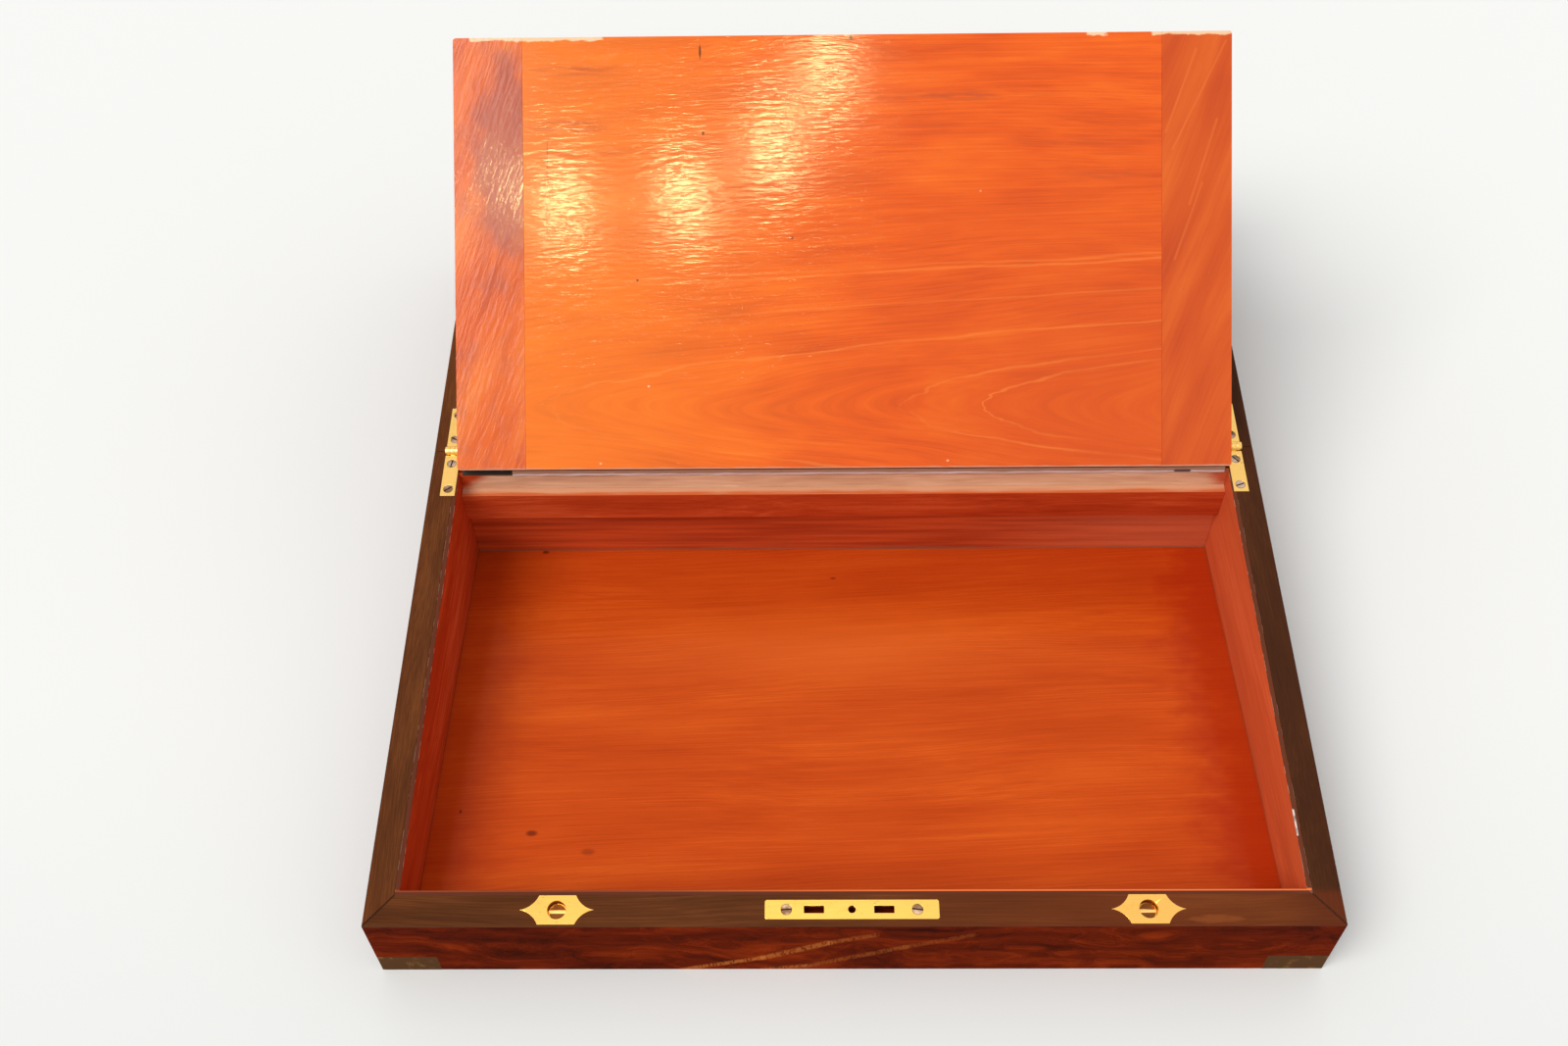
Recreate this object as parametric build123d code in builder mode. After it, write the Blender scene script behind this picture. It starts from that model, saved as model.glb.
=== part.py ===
"""Hinged writing slope, opened flat on a table with the near writing flap raised.

X runs along the hinge, +Y away from the writer, +Z up. The origin is on the table under the
middle of the hinge line. The lid is the near half, lying on its top, and the base is the far half.
Both rims lie in one sloping plane through the hinge line, and the lid closes over the base by half
a turn about that line.
"""

import os
from math import cos, radians, sin, tan

from build123d import *

os.makedirs("parts", exist_ok=True)

# --- driving dimensions, in millimetres and degrees -------------------------------------------
box_width = 400.0
half_depth = 235.0
hinge_height = 73.0
slope_angle = 7.6
half_gap = 0.15  # each half stands back this far from the hinge plane and from the rim plane

# carcase
side_wall = 11.6
free_wall = 12.9
hinge_wall = 11.45
lining = 2.0
skin = 1.0  # veneer under the lid, baize under the base
board = 11.0
board_rebate = 5.6
banding = 1.0

# writing flaps
skiver = 0.85  # leather of the writing surface
skiver_drop = 0.3  # leather surface below the rim plane
flap_wood = 9.0
flap_width = 370.0
clamp_width = 33.0
tongue_length = 6.0
tongue_thickness = 3.0
flap_gap = 0.3
near_flap_length = 205.8
near_flap_gap = 1.7  # the end of the flap is square and the wall beside it upright
near_flap_raise = 146.0
flap_corner = 1.5
far_flap_length = 136.0
ledge_width = 4.4
ledge_height = 17.0
ledge_clearance = 0.2

# hinges
leaf_width = 7.2
leaf_length = 26.2
leaf_center = 190.8
barrel_radius = 2.3
pin_radius = 0.9
pin_clearance = 0.05
knuckle_gap = 0.1
barrel_clearance = 0.3
leaf_screw_stations = (7.3, 22.2)

# let-in brass and the flush heads of its wood screws, as deep as the brass is thick
plate_thickness = 1.5
screw_head = 2.3

# lock and its catch plate
lock_station = 230.3  # distance up the slope from the hinge line to the middle of the fittings
plate_length = 71.2
plate_width = 8.1
plate_corner = 0.6
plate_screw_spread = 26.8
catch_slots = (-15.5, 13.2)
slot_length = 8.2
slot_width = 3.1
guide_hole_radius = 1.55
guide_pin_radius = 1.35
guide_pin_height = 4.0
bolt_travel = 3.0
hook_shank = 4.0
hook_nose = 2.2
hook_width = 2.4
hook_under = 2.0
hook_height = 4.3
hook_lead = 0.5  # from the end of the catch slot to the hook of the drawn bolt
bolt_start = -20.5
bolt_end = 14.5
bolt_bar_height = 6.0
bolt_bar_width = 3.0
bolt_top = -4.4
bolt_play = 0.15
pin_point = 0.5
case_length = 44.0
case_width = 7.2
case_depth = 24.0
case_setback = 1.0  # the case stands this much nearer the outer face than the selvedge
keyhole_radius = 2.2
keyhole_drop = 18.0
keyhole_slit = 2.0
keyhole_tail = 7.0
keyway_depth = 7.0
escutcheon_rim = 1.2
escutcheon_depth = 1.6

# locating sockets of the lid and studs of the base
locator_spread = 120.8
locator_length = 30.6
locator_flat = 15.2
locator_width = 12.2
locator_hollow = 1.3  # how far each concave side bows in
socket_radius = 3.9
socket_wall = 1.0
socket_depth = 5.1
socket_screw_head = 3.4
stud_radius = 3.7
stud_height = 1.8

# brass corners
corner_reach = 25.5
corner_height = 12.5
corner_sheet = 1.0

# far compartment
baize_inset = 1.0
bearer_thickness = 6.0
bearer_seat = 3.0
bearer_drop = 0.6
tray_play = 0.2
tray_drop = 3.0
tray_thickness = 14.0
groove_length = 230.0
groove_width = 36.0
groove_depth = 9.0
well_center = 156.0
well_size = 40.6
well_wall = 3.0
well_depth = 34.0
bottle_size = 39.6
bottle_height = 26.0
bottle_wall = 4.0
bottle_chamfer = 2.0
bottle_neck_radius = 9.0
bottle_neck = 5.0
bottle_bore = 6.5
cap_radius = 13.0
cap_height = 8.0
cap_play = 0.1

# --- derived places ----------------------------------------------------------------------------
slope = radians(slope_angle)
closed_height = 2 * hinge_height
half_width = box_width / 2
banding_inner_x = half_width - side_wall
opening_x = banding_inner_x - lining
hinge_inner_y = half_gap + hinge_wall
pivot_y = hinge_inner_y + lining
free_inner_y = half_depth - free_wall
opening_free_y = free_inner_y - lining
floor_z = skin + board
reach = 2 * half_depth  # longer than anything it has to cut
wood_top = skiver_drop + skiver  # top of the flap wood and of the hinge walls, below the rim plane
flap_bottom = wood_top + flap_wood
ledge_top = flap_bottom + ledge_clearance
pivot_station = pivot_y / cos(slope)

# plane through the hinge line in which both rims lie: local X along the hinge, local Y up the slope
rim_plane = Plane(
    origin=(0, 0, hinge_height), x_dir=(1, 0, 0), z_dir=(0, -sin(slope), cos(slope))
)
rim_top = rim_plane.offset(-half_gap)


def finish(piece, name):
    """Label one finished piece and write it to its own STEP file."""
    piece.part.label = name
    export_step(piece.part, f"parts/{name}.step")


def below_rim(drop):
    """The rim plane moved straight down by a normal distance."""
    return rim_plane.offset(-drop)


def rim_height(y):
    """Height of the rim plane above the table at a distance from the hinge line."""
    return hinge_height + y * tan(slope)


def prism(plan, low, drop_top, drop_bottom=None):
    """Upright prism over a plan outline, cut off by the sloping rim, and by a second slope below."""
    with BuildPart() as solid:
        with BuildSketch(Plane.XY.offset(low)):
            Polygon(*plan, align=None)
        extrude(amount=closed_height)
        split(bisect_by=below_rim(drop_top), keep=Keep.BOTTOM)
        if drop_bottom is not None:
            split(bisect_by=below_rim(drop_bottom), keep=Keep.TOP)
    return solid


def ring_plans(side, outer, inner):
    """Plans of the four mitred sides of a frame, for the lid (side -1) or the base (side +1)."""
    x_out, hinge_out, free_out = outer
    x_in, hinge_in, free_in = inner
    corner = {
        "hl": (-x_out, side * hinge_out),
        "hr": (x_out, side * hinge_out),
        "fl": (-x_out, side * free_out),
        "fr": (x_out, side * free_out),
    }
    inside = {
        "hl": (-x_in, side * hinge_in),
        "hr": (x_in, side * hinge_in),
        "fl": (-x_in, side * free_in),
        "fr": (x_in, side * free_in),
    }
    ends = {"free": ("fl", "fr"), "hinge": ("hl", "hr"), "left": ("hl", "fl"), "right": ("hr", "fr")}
    return {
        place: (corner[a], corner[b], inside[b], inside[a]) for place, (a, b) in ends.items()
    }


def banding_plans(side):
    """Plans of the three banding strips: mitred at the free corners, square at the hinge line."""
    plans = ring_plans(
        side,
        (half_width, half_gap, half_depth),
        (banding_inner_x, hinge_inner_y, free_inner_y),
    )
    strips = {"free": plans["free"]}
    for place, x_sign in (("left", -1), ("right", 1)):
        outer, free_outer, free_inner, _ = plans[place]
        strips[place] = (outer, free_outer, free_inner, (x_sign * banding_inner_x, side * half_gap))
    return strips


# --- shapes that are cut into several pieces ----------------------------------------------------
def screw_set(stations, head=screw_head, drop=half_gap):
    """Heads of wood screws, one solid each, with their upper faces at a drop below the rim plane."""
    with BuildPart(below_rim(drop)) as screws:
        with Locations(*stations):
            Cylinder(head, plate_thickness, align=(Align.CENTER, Align.CENTER, Align.MAX))
    return screws


def leaf_screw_places(side):
    return [
        (x_sign * leaf_center, side * station)
        for x_sign in (-1, 1)
        for station in leaf_screw_stations
    ]


lid_leaf_screws = screw_set(leaf_screw_places(-1))
base_leaf_screws = screw_set(leaf_screw_places(1))
catch_screws = screw_set([(x, -lock_station) for x in (-plate_screw_spread, plate_screw_spread)])
lock_screws = screw_set([(x, lock_station) for x in (-plate_screw_spread, plate_screw_spread)])
socket_screws = screw_set(
    [(x, -lock_station) for x in (-locator_spread, locator_spread)],
    socket_screw_head,
    drop=half_gap + socket_depth - socket_wall - plate_thickness,
)

# recess for both hinges: leaves let in flush, and a groove for the barrels
with BuildPart(rim_top) as hinge_recess:
    with BuildSketch(rim_top.offset(-plate_thickness)):
        with Locations((-leaf_center, 0), (leaf_center, 0)):
            Rectangle(leaf_width, 2 * leaf_length)
    extrude(amount=reach)
    for x_sign in (-1, 1):
        with BuildSketch(Plane.YZ.offset(x_sign * leaf_center)):
            with Locations((0, hinge_height)):
                Circle(barrel_radius + barrel_clearance)
        extrude(amount=leaf_width / 2 + barrel_clearance, both=True)


# outline of the catch plate and of the lock's selvedge, with the corners filed off
with BuildSketch() as plate_shape:
    Rectangle(plate_length, plate_width)
    chamfer(vertices(), plate_corner)


# pocket of the catch plate in the free rim of the lid, with room for the hooks below it
with BuildPart() as catch_recess:
    with BuildSketch(rim_top.offset(-plate_thickness)):
        with Locations((0, -lock_station)):
            add(plate_shape.sketch)
    extrude(amount=reach)
    with BuildSketch(rim_top.offset(-plate_thickness)):
        for x in catch_slots:
            with Locations((x + bolt_travel / 2, -lock_station)):
                Rectangle(slot_length + bolt_travel, slot_width)
        with Locations((0, -lock_station)):
            Circle(guide_hole_radius)
    extrude(amount=-hook_height)

# pocket of the lock in the base: selvedge let in flush, case in a mortise below it
case_y = lock_station * cos(slope) + case_setback
case_bottom = rim_height(case_y) - case_depth
case_plan = (
    (-case_length / 2, case_y - case_width / 2),
    (case_length / 2, case_y - case_width / 2),
    (case_length / 2, case_y + case_width / 2),
    (-case_length / 2, case_y + case_width / 2),
)
with BuildPart() as lock_recess:
    with BuildSketch(rim_top.offset(-plate_thickness)):
        with Locations((0, lock_station)):
            add(plate_shape.sketch)
    extrude(amount=reach)
    add(prism(case_plan, case_bottom, half_gap).part)


# flat-ended lozenge with four hollow sides, which the sockets and studs share
flat = locator_flat / 2
wide = locator_width / 2
tip = locator_length / 2
chord = ((tip - flat) ** 2 + wide**2) ** 0.5
bow_x = (flat + tip) / 2 - locator_hollow * wide / chord
bow_y = wide / 2 - locator_hollow * (tip - flat) / chord
with BuildSketch() as locator_shape:
    with BuildLine():
        Line((-flat, wide), (flat, wide))
        ThreePointArc((flat, wide), (bow_x, bow_y), (tip, 0))
        ThreePointArc((tip, 0), (bow_x, -bow_y), (flat, -wide))
        Line((flat, -wide), (-flat, -wide))
        ThreePointArc((-flat, -wide), (-bow_x, -bow_y), (-tip, 0))
        ThreePointArc((-tip, 0), (-bow_x, bow_y), (-flat, wide))
    make_face()


def locator_places(side):
    """Middles of the two locating plates of one half, in the rim plane."""
    return [(x, side * lock_station) for x in (-locator_spread, locator_spread)]


def locator_blank(side):
    """Both let-in plates of one half; the lid's have a round cup that goes down into the wall."""
    with BuildPart() as blank:
        with BuildSketch(rim_top.offset(-plate_thickness)):
            with Locations(*locator_places(side)):
                add(locator_shape.sketch)
        extrude(amount=plate_thickness)
        if side < 0:
            with BuildSketch(rim_top):
                with Locations(*locator_places(side)):
                    Circle(socket_radius + socket_wall)
            extrude(amount=-socket_depth)
    return blank


socket_blanks = locator_blank(-1)
stud_blanks = locator_blank(1)


def corner_sheets(side):
    """Four brass corners of one half: an angle round the upright edge with a strap on the table."""
    with BuildPart() as corners:
        for x_sign in (-1, 1):
            for y_out, y_way in ((side * half_depth, -side), (side * half_gap, side)):
                x_out = x_sign * half_width
                arm = [
                    (x_out, y_out),
                    (x_out - x_sign * corner_reach, y_out),
                    (x_out - x_sign * corner_reach, y_out + y_way * corner_height),
                    (x_out - x_sign * corner_height, y_out + y_way * corner_height),
                    (x_out - x_sign * corner_height, y_out + y_way * corner_reach),
                    (x_out, y_out + y_way * corner_reach),
                ]
                angle = [
                    (x_out, y_out),
                    (x_out - x_sign * corner_reach, y_out),
                    (x_out - x_sign * corner_reach, y_out + y_way * corner_sheet),
                    (x_out - x_sign * corner_sheet, y_out + y_way * corner_sheet),
                    (x_out - x_sign * corner_sheet, y_out + y_way * corner_reach),
                    (x_out, y_out + y_way * corner_reach),
                ]
                with BuildSketch(Plane.XY):
                    Polygon(*arm, align=None)
                extrude(amount=corner_sheet)
                with BuildSketch(Plane.XY):
                    Polygon(*angle, align=None)
                extrude(amount=corner_height)
    return corners


lid_corners = corner_sheets(-1)
base_corners = corner_sheets(1)


def board_plan(side):
    """Plan of the rebated hollow under a half that takes its board."""
    x = half_width - board_rebate
    near = side * (half_gap + board_rebate)
    far = side * (half_depth - board_rebate)
    return ((-x, near), (x, near), (x, far), (-x, far))


# --- lid: carcase -------------------------------------------------------------------------------
lid_cuts = {
    "free": (catch_recess, socket_blanks, lid_corners),
    "hinge": (hinge_recess, lid_corners),
    "left": (hinge_recess, lid_corners),
    "right": (hinge_recess, lid_corners),
}
carcase = (half_width, half_gap, half_depth)
carcase_inside = (banding_inner_x, hinge_inner_y, free_inner_y)
opening = (opening_x, pivot_y, opening_free_y)

for place, plan in ring_plans(-1, carcase, carcase_inside).items():
    with BuildPart() as lid_wall:
        add(prism(plan, skin, half_gap + banding).part)
        with BuildSketch(Plane.XY.offset(skin)):
            Polygon(*board_plan(-1), align=None)
        extrude(amount=board, mode=Mode.SUBTRACT)
        for tool in lid_cuts[place]:
            add(tool.part, mode=Mode.SUBTRACT)
    finish(lid_wall, f"lid_{place}_wall")

with BuildPart() as lid_top_board:
    with BuildSketch(Plane.XY.offset(skin)):
        Polygon(*board_plan(-1), align=None)
    extrude(amount=board)
finish(lid_top_board, "lid_top_board")

with BuildPart() as lid_top_veneer:
    with BuildSketch(Plane.XY):
        with Locations((0, -(half_gap + half_depth) / 2)):
            Rectangle(box_width, half_depth - half_gap)
    extrude(amount=skin)
    add(lid_corners.part, mode=Mode.SUBTRACT)
finish(lid_top_veneer, "lid_top_veneer")

for place, plan in banding_plans(-1).items():
    with BuildPart() as lid_strip:
        add(prism(plan, skin, half_gap, half_gap + banding).part)
        for tool in lid_cuts[place]:
            add(tool.part, mode=Mode.SUBTRACT)
    finish(lid_strip, f"lid_{place}_banding")

for place, plan in ring_plans(-1, carcase_inside, opening).items():
    with BuildPart() as lid_lining:
        add(prism(plan, floor_z, wood_top if place == "hinge" else half_gap).part)
        for tool in (hinge_recess, socket_blanks):
            add(tool.part, mode=Mode.SUBTRACT)
    finish(lid_lining, f"lid_{place}_lining")


def ledge(y_wall, way):
    """Strip on a wall that carries the edge of a flap, its top parallel with the rim."""
    y_edge = y_wall + way * ledge_width
    plan = ((-opening_x, y_wall), (opening_x, y_wall), (opening_x, y_edge), (-opening_x, y_edge))
    return prism(plan, floor_z, ledge_top, ledge_top + ledge_height)


lid_hinge_ledge = ledge(-pivot_y, -1)
finish(lid_hinge_ledge, "lid_hinge_ledge")

lid_free_ledge = ledge(-opening_free_y, 1)
finish(lid_free_ledge, "lid_free_ledge")

with BuildPart() as lid_strip_leather:
    strip_plan = (
        (-flap_width / 2, -half_gap),
        (flap_width / 2, -half_gap),
        (flap_width / 2, -pivot_y),
        (-flap_width / 2, -pivot_y),
    )
    add(prism(strip_plan, skin, skiver_drop, wood_top).part)
finish(lid_strip_leather, "lid_strip_leather")

# --- lid: brass ---------------------------------------------------------------------------------
finish(lid_corners, "lid_corners")

with BuildPart() as catch_plate:
    with BuildSketch(rim_top.offset(-plate_thickness)):
        with Locations((0, -lock_station)):
            add(plate_shape.sketch)
        with Locations(*[(x, -lock_station) for x in catch_slots]):
            Rectangle(slot_length, slot_width, mode=Mode.SUBTRACT)
        with Locations((0, -lock_station)):
            Circle(guide_hole_radius, mode=Mode.SUBTRACT)
    extrude(amount=plate_thickness)
    add(catch_screws.part, mode=Mode.SUBTRACT)
finish(catch_plate, "catch_plate")
finish(catch_screws, "catch_screws")

with BuildPart() as locating_sockets:
    add(socket_blanks.part)
    with BuildSketch(rim_top):
        with Locations(*locator_places(-1)):
            Circle(socket_radius)
    extrude(amount=socket_wall - socket_depth, mode=Mode.SUBTRACT)
finish(locating_sockets, "locating_sockets")
finish(socket_screws, "socket_screws")


# --- hinges -------------------------------------------------------------------------------------
knuckle = leaf_width / 3


def hinge_leaves(side):
    """Both let-in leaves of one half: the lid's have the middle knuckle, the base's the outer two."""
    spread = (leaf_width - knuckle) / 2
    offsets = (0,) if side < 0 else (-spread, spread)
    length = knuckle - knuckle_gap if side < 0 else knuckle
    bore = pin_radius + pin_clearance if side < 0 else pin_radius
    root = barrel_radius + barrel_clearance
    knuckles = [middle + shift for middle in (-leaf_center, leaf_center) for shift in offsets]
    with BuildPart() as leaves:
        with BuildSketch(rim_top.offset(-plate_thickness)):
            for middle in (-leaf_center, leaf_center):
                with Locations((middle, side * (root + leaf_length) / 2)):
                    Rectangle(leaf_width, leaf_length - root)
            for x in knuckles:
                with Locations((x, side * root / 2)):
                    Rectangle(length, root)
        extrude(amount=plate_thickness)
        for x in knuckles:
            with BuildSketch(Plane.YZ.offset(x)):
                with Locations((0, hinge_height)):
                    Circle(barrel_radius)
            extrude(amount=length / 2, both=True)
            with BuildSketch(Plane.YZ.offset(x)):
                with Locations((0, hinge_height)):
                    Circle(bore)
            extrude(amount=length / 2, both=True, mode=Mode.SUBTRACT)
        add(screw_set(leaf_screw_places(side)).part, mode=Mode.SUBTRACT)
    return leaves


lid_hinge_leaves = hinge_leaves(-1)
base_hinge_leaves = hinge_leaves(1)
finish(lid_hinge_leaves, "lid_hinge_leaves")
finish(base_hinge_leaves, "base_hinge_leaves")
finish(lid_leaf_screws, "lid_leaf_screws")
finish(base_leaf_screws, "base_leaf_screws")

with BuildPart() as hinge_pins:
    for x_sign in (-1, 1):
        with BuildSketch(Plane.YZ.offset(x_sign * leaf_center)):
            with Locations((0, hinge_height)):
                Circle(pin_radius)
        extrude(amount=leaf_width / 2, both=True)
finish(hinge_pins, "hinge_pins")


# --- writing flaps ------------------------------------------------------------------------------
def flap_plane(y, turn):
    """Plane of a flap in the rim plane at its pivot: local Z through its thickness, away from the skin.

    Local Y points down the slope for a lying flap, and is turned up with the flap by an angle.
    """
    lean = radians(180 + slope_angle - turn)
    return Plane(origin=(0, y, rim_height(y)), x_dir=(1, 0, 0), z_dir=(0, -sin(lean), cos(lean)))


def flap_board(plane, middle, length):
    """Board of a flap with its grain along the hinge and a tongue on each end."""
    width = flap_width - 2 * clamp_width
    with BuildPart() as flap:
        with BuildSketch(plane.offset(wood_top)):
            with Locations((0, middle)):
                Rectangle(width, length)
        extrude(amount=flap_wood)
        with BuildSketch(plane.offset(wood_top + (flap_wood - tongue_thickness) / 2)):
            with Locations((0, middle)):
                Rectangle(width + 2 * tongue_length, length)
        extrude(amount=tongue_thickness)
    return flap


def flap_set(prefix, plane, middle, length):
    """The three wooden pieces of a flap, whose clamps are ploughed over the tongues of its board."""
    core = flap_board(plane, middle, length)
    finish(core, f"{prefix}_board")
    for name, x_sign in (("left", -1), ("right", 1)):
        with BuildPart() as clamp:
            with BuildSketch(plane.offset(wood_top)):
                with Locations((x_sign * (flap_width - clamp_width) / 2, middle)):
                    Rectangle(clamp_width, length)
            extrude(amount=flap_wood)
            upright = clamp.edges().filter_by(Axis(plane.origin, plane.z_dir))
            fillet(upright.group_by(Axis.X)[-1 if x_sign > 0 else 0], flap_corner)
            add(core.part, mode=Mode.SUBTRACT)
        finish(clamp, f"{prefix}_{name}_clamp")


near_plane = flap_plane(-pivot_y, near_flap_raise)
near_middle = near_flap_gap + near_flap_length / 2
flap_set("near_flap", near_plane, near_middle, near_flap_length)

with BuildPart() as near_flap_leather:
    with BuildSketch(near_plane.offset(skiver_drop)):
        with Locations((0, near_middle)):
            Rectangle(flap_width, near_flap_length)
    extrude(amount=skiver)
finish(near_flap_leather, "near_flap_leather")

far_plane = flap_plane(pivot_y, 0)
flap_set("far_flap", far_plane, -flap_gap - far_flap_length / 2, far_flap_length)
far_flap_end = (pivot_station + flap_gap + far_flap_length) * cos(slope)

with BuildPart() as far_leather:
    half_flap = flap_width / 2
    far_skin_plan = (
        (-half_flap, half_gap),
        (half_flap, half_gap),
        (half_flap, far_flap_end),
        (-half_flap, far_flap_end),
    )
    add(prism(far_skin_plan, skin, skiver_drop, wood_top).part)
finish(far_leather, "far_leather")

# --- base: carcase ------------------------------------------------------------------------------
with BuildPart() as base_bottom_board:
    with BuildSketch(Plane.XY.offset(skin)):
        Polygon(*board_plan(1), align=None)
    extrude(amount=board)
finish(base_bottom_board, "base_bottom_board")

with BuildPart() as base_baize:
    with BuildSketch(Plane.XY):
        with Locations((0, (half_gap + half_depth) / 2)):
            Rectangle(box_width - 2 * baize_inset, half_depth - half_gap - 2 * baize_inset)
    extrude(amount=skin)
    add(base_corners.part, mode=Mode.SUBTRACT)
finish(base_baize, "base_baize")

# keyhole, seen from behind the box, with its thread of brass
keyhole_z = rim_height(half_depth) - keyhole_drop
keyhole_face = Plane(origin=(0, half_depth, keyhole_z), x_dir=(-1, 0, 0), z_dir=(0, 1, 0))


def keyhole(grow):
    """Keyhole outline on the current sketch, enlarged all round."""
    Circle(keyhole_radius + grow)
    with Locations((0, -keyhole_tail / 2)):
        Rectangle(keyhole_slit + 2 * grow, keyhole_tail + 2 * grow)


with BuildPart() as keyway:
    with BuildSketch(keyhole_face):
        keyhole(0)
    extrude(amount=-keyway_depth)
    with BuildSketch(keyhole_face):
        keyhole(escutcheon_rim)
    extrude(amount=-escutcheon_depth)

with BuildPart() as keyhole_escutcheon:
    with BuildSketch(keyhole_face):
        keyhole(escutcheon_rim)
    extrude(amount=-escutcheon_depth)
    with BuildSketch(keyhole_face):
        keyhole(0)
    extrude(amount=-escutcheon_depth, mode=Mode.SUBTRACT)
finish(keyhole_escutcheon, "keyhole_escutcheon")

base_cuts = {
    "free": (lock_recess, stud_blanks, base_corners, keyway),
    "hinge": (hinge_recess, base_corners),
    "left": (hinge_recess, base_corners),
    "right": (hinge_recess, base_corners),
}
base_strips = {}
for place, plan in banding_plans(1).items():
    with BuildPart() as base_strip:
        add(prism(plan, skin, half_gap, half_gap + banding).part)
    base_strips[place] = base_strip.part

hinge_seat_plan = (
    (-opening_x, half_gap),
    (opening_x, half_gap),
    (opening_x, pivot_y),
    (-opening_x, pivot_y),
)
hinge_seat = prism(hinge_seat_plan, skin, -reach, wood_top)
for place, plan in ring_plans(1, carcase, opening).items():
    with BuildPart() as base_wall:
        add(prism(plan, skin, half_gap).part)
        with BuildSketch(Plane.XY.offset(skin)):
            Polygon(*board_plan(1), align=None)
        extrude(amount=board, mode=Mode.SUBTRACT)
        for strip in base_strips.values():
            add(strip, mode=Mode.SUBTRACT)
        for tool in base_cuts[place]:
            add(tool.part, mode=Mode.SUBTRACT)
        if place == "hinge":
            add(hinge_seat.part, mode=Mode.SUBTRACT)
    finish(base_wall, f"base_{'lock' if place == 'free' else place}_wall")

for place, strip in base_strips.items():
    with BuildPart() as base_banding:
        add(strip)
        for tool in base_cuts[place]:
            add(tool.part, mode=Mode.SUBTRACT)
    finish(base_banding, f"base_{'lock' if place == 'free' else place}_banding")

base_hinge_ledge = ledge(pivot_y, 1)
finish(base_hinge_ledge, "base_hinge_ledge")
finish(base_corners, "base_corners")

# --- base: far compartment ----------------------------------------------------------------------
bearer_start = far_flap_end - bearer_seat
bearer_end = bearer_start + bearer_thickness
with BuildPart() as flap_bearer:
    stop_y = far_flap_end + flap_gap + ledge_top * sin(slope)
    for y_start, drop in ((bearer_start, ledge_top), (stop_y, bearer_drop)):
        bearer_plan = (
            (-opening_x, y_start),
            (opening_x, y_start),
            (opening_x, bearer_end),
            (-opening_x, bearer_end),
        )
        add(prism(bearer_plan, floor_z, drop).part)
finish(flap_bearer, "flap_bearer")

tray_start = bearer_end + tray_play
tray_end = opening_free_y - tray_play
tray_x = opening_x - tray_play
tray_middle = (tray_start + tray_end) / 2
tray_station = tray_middle / cos(slope)
# the pen groove is the bottom of a cylinder that lies above the tray
groove_radius = ((groove_width / 2) ** 2 + groove_depth**2) / (2 * groove_depth)
tray_face = below_rim(tray_drop)
groove_center = tray_face.from_local_coords((0, tray_station, groove_radius - groove_depth))
well_places = ((-well_center, tray_middle), (well_center, tray_middle))
well_floor = rim_height(tray_middle) - tray_drop - well_depth
with BuildPart() as pen_tray:
    tray_plan = ((-tray_x, tray_start), (tray_x, tray_start), (tray_x, tray_end), (-tray_x, tray_end))
    add(prism(tray_plan, skin, tray_drop, tray_drop + tray_thickness).part)
    with BuildSketch(Plane.XY.offset(well_floor - well_wall)):
        with Locations(*well_places):
            Rectangle(well_size + 2 * well_wall, well_size + 2 * well_wall)
    extrude(amount=well_depth - tray_thickness / 2)
    with BuildSketch(Plane(groove_center, x_dir=(0, 1, 0), z_dir=(1, 0, 0))):
        Circle(groove_radius)
    extrude(amount=groove_length / 2, both=True, mode=Mode.SUBTRACT)
    with BuildSketch(Plane.XY.offset(well_floor)):
        with Locations(*well_places):
            Rectangle(well_size, well_size)
    extrude(amount=2 * well_depth, mode=Mode.SUBTRACT)
finish(pen_tray, "pen_tray")

shoulder_z = well_floor + bottle_height
with BuildPart() as ink_bottles:
    with BuildSketch(Plane.XY.offset(well_floor)):
        with Locations(*well_places):
            Rectangle(bottle_size, bottle_size)
    extrude(amount=bottle_height)
    shoulders = faces().group_by(Axis.Z)[-1]
    chamfer(shoulders.edges(), bottle_chamfer)
    with BuildSketch(Plane.XY.offset(shoulder_z)):
        with Locations(*well_places):
            Circle(bottle_neck_radius)
    extrude(amount=bottle_neck)
    with BuildSketch(Plane.XY.offset(well_floor + bottle_wall)):
        with Locations(*well_places):
            Rectangle(bottle_size - 2 * bottle_wall, bottle_size - 2 * bottle_wall)
    extrude(amount=bottle_height - 2 * bottle_wall, mode=Mode.SUBTRACT)
    with BuildSketch(Plane.XY.offset(well_floor + bottle_wall)):
        with Locations(*well_places):
            Circle(bottle_bore)
    extrude(amount=bottle_height + bottle_neck, mode=Mode.SUBTRACT)
finish(ink_bottles, "ink_bottles")

with BuildPart() as ink_caps:
    with BuildSketch(Plane.XY.offset(shoulder_z)):
        with Locations(*well_places):
            Circle(cap_radius)
    extrude(amount=cap_height)
    with BuildSketch(Plane.XY.offset(shoulder_z)):
        with Locations(*well_places):
            Circle(bottle_neck_radius + cap_play)
    extrude(amount=bottle_neck + cap_play, mode=Mode.SUBTRACT)
finish(ink_caps, "ink_caps")

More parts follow.
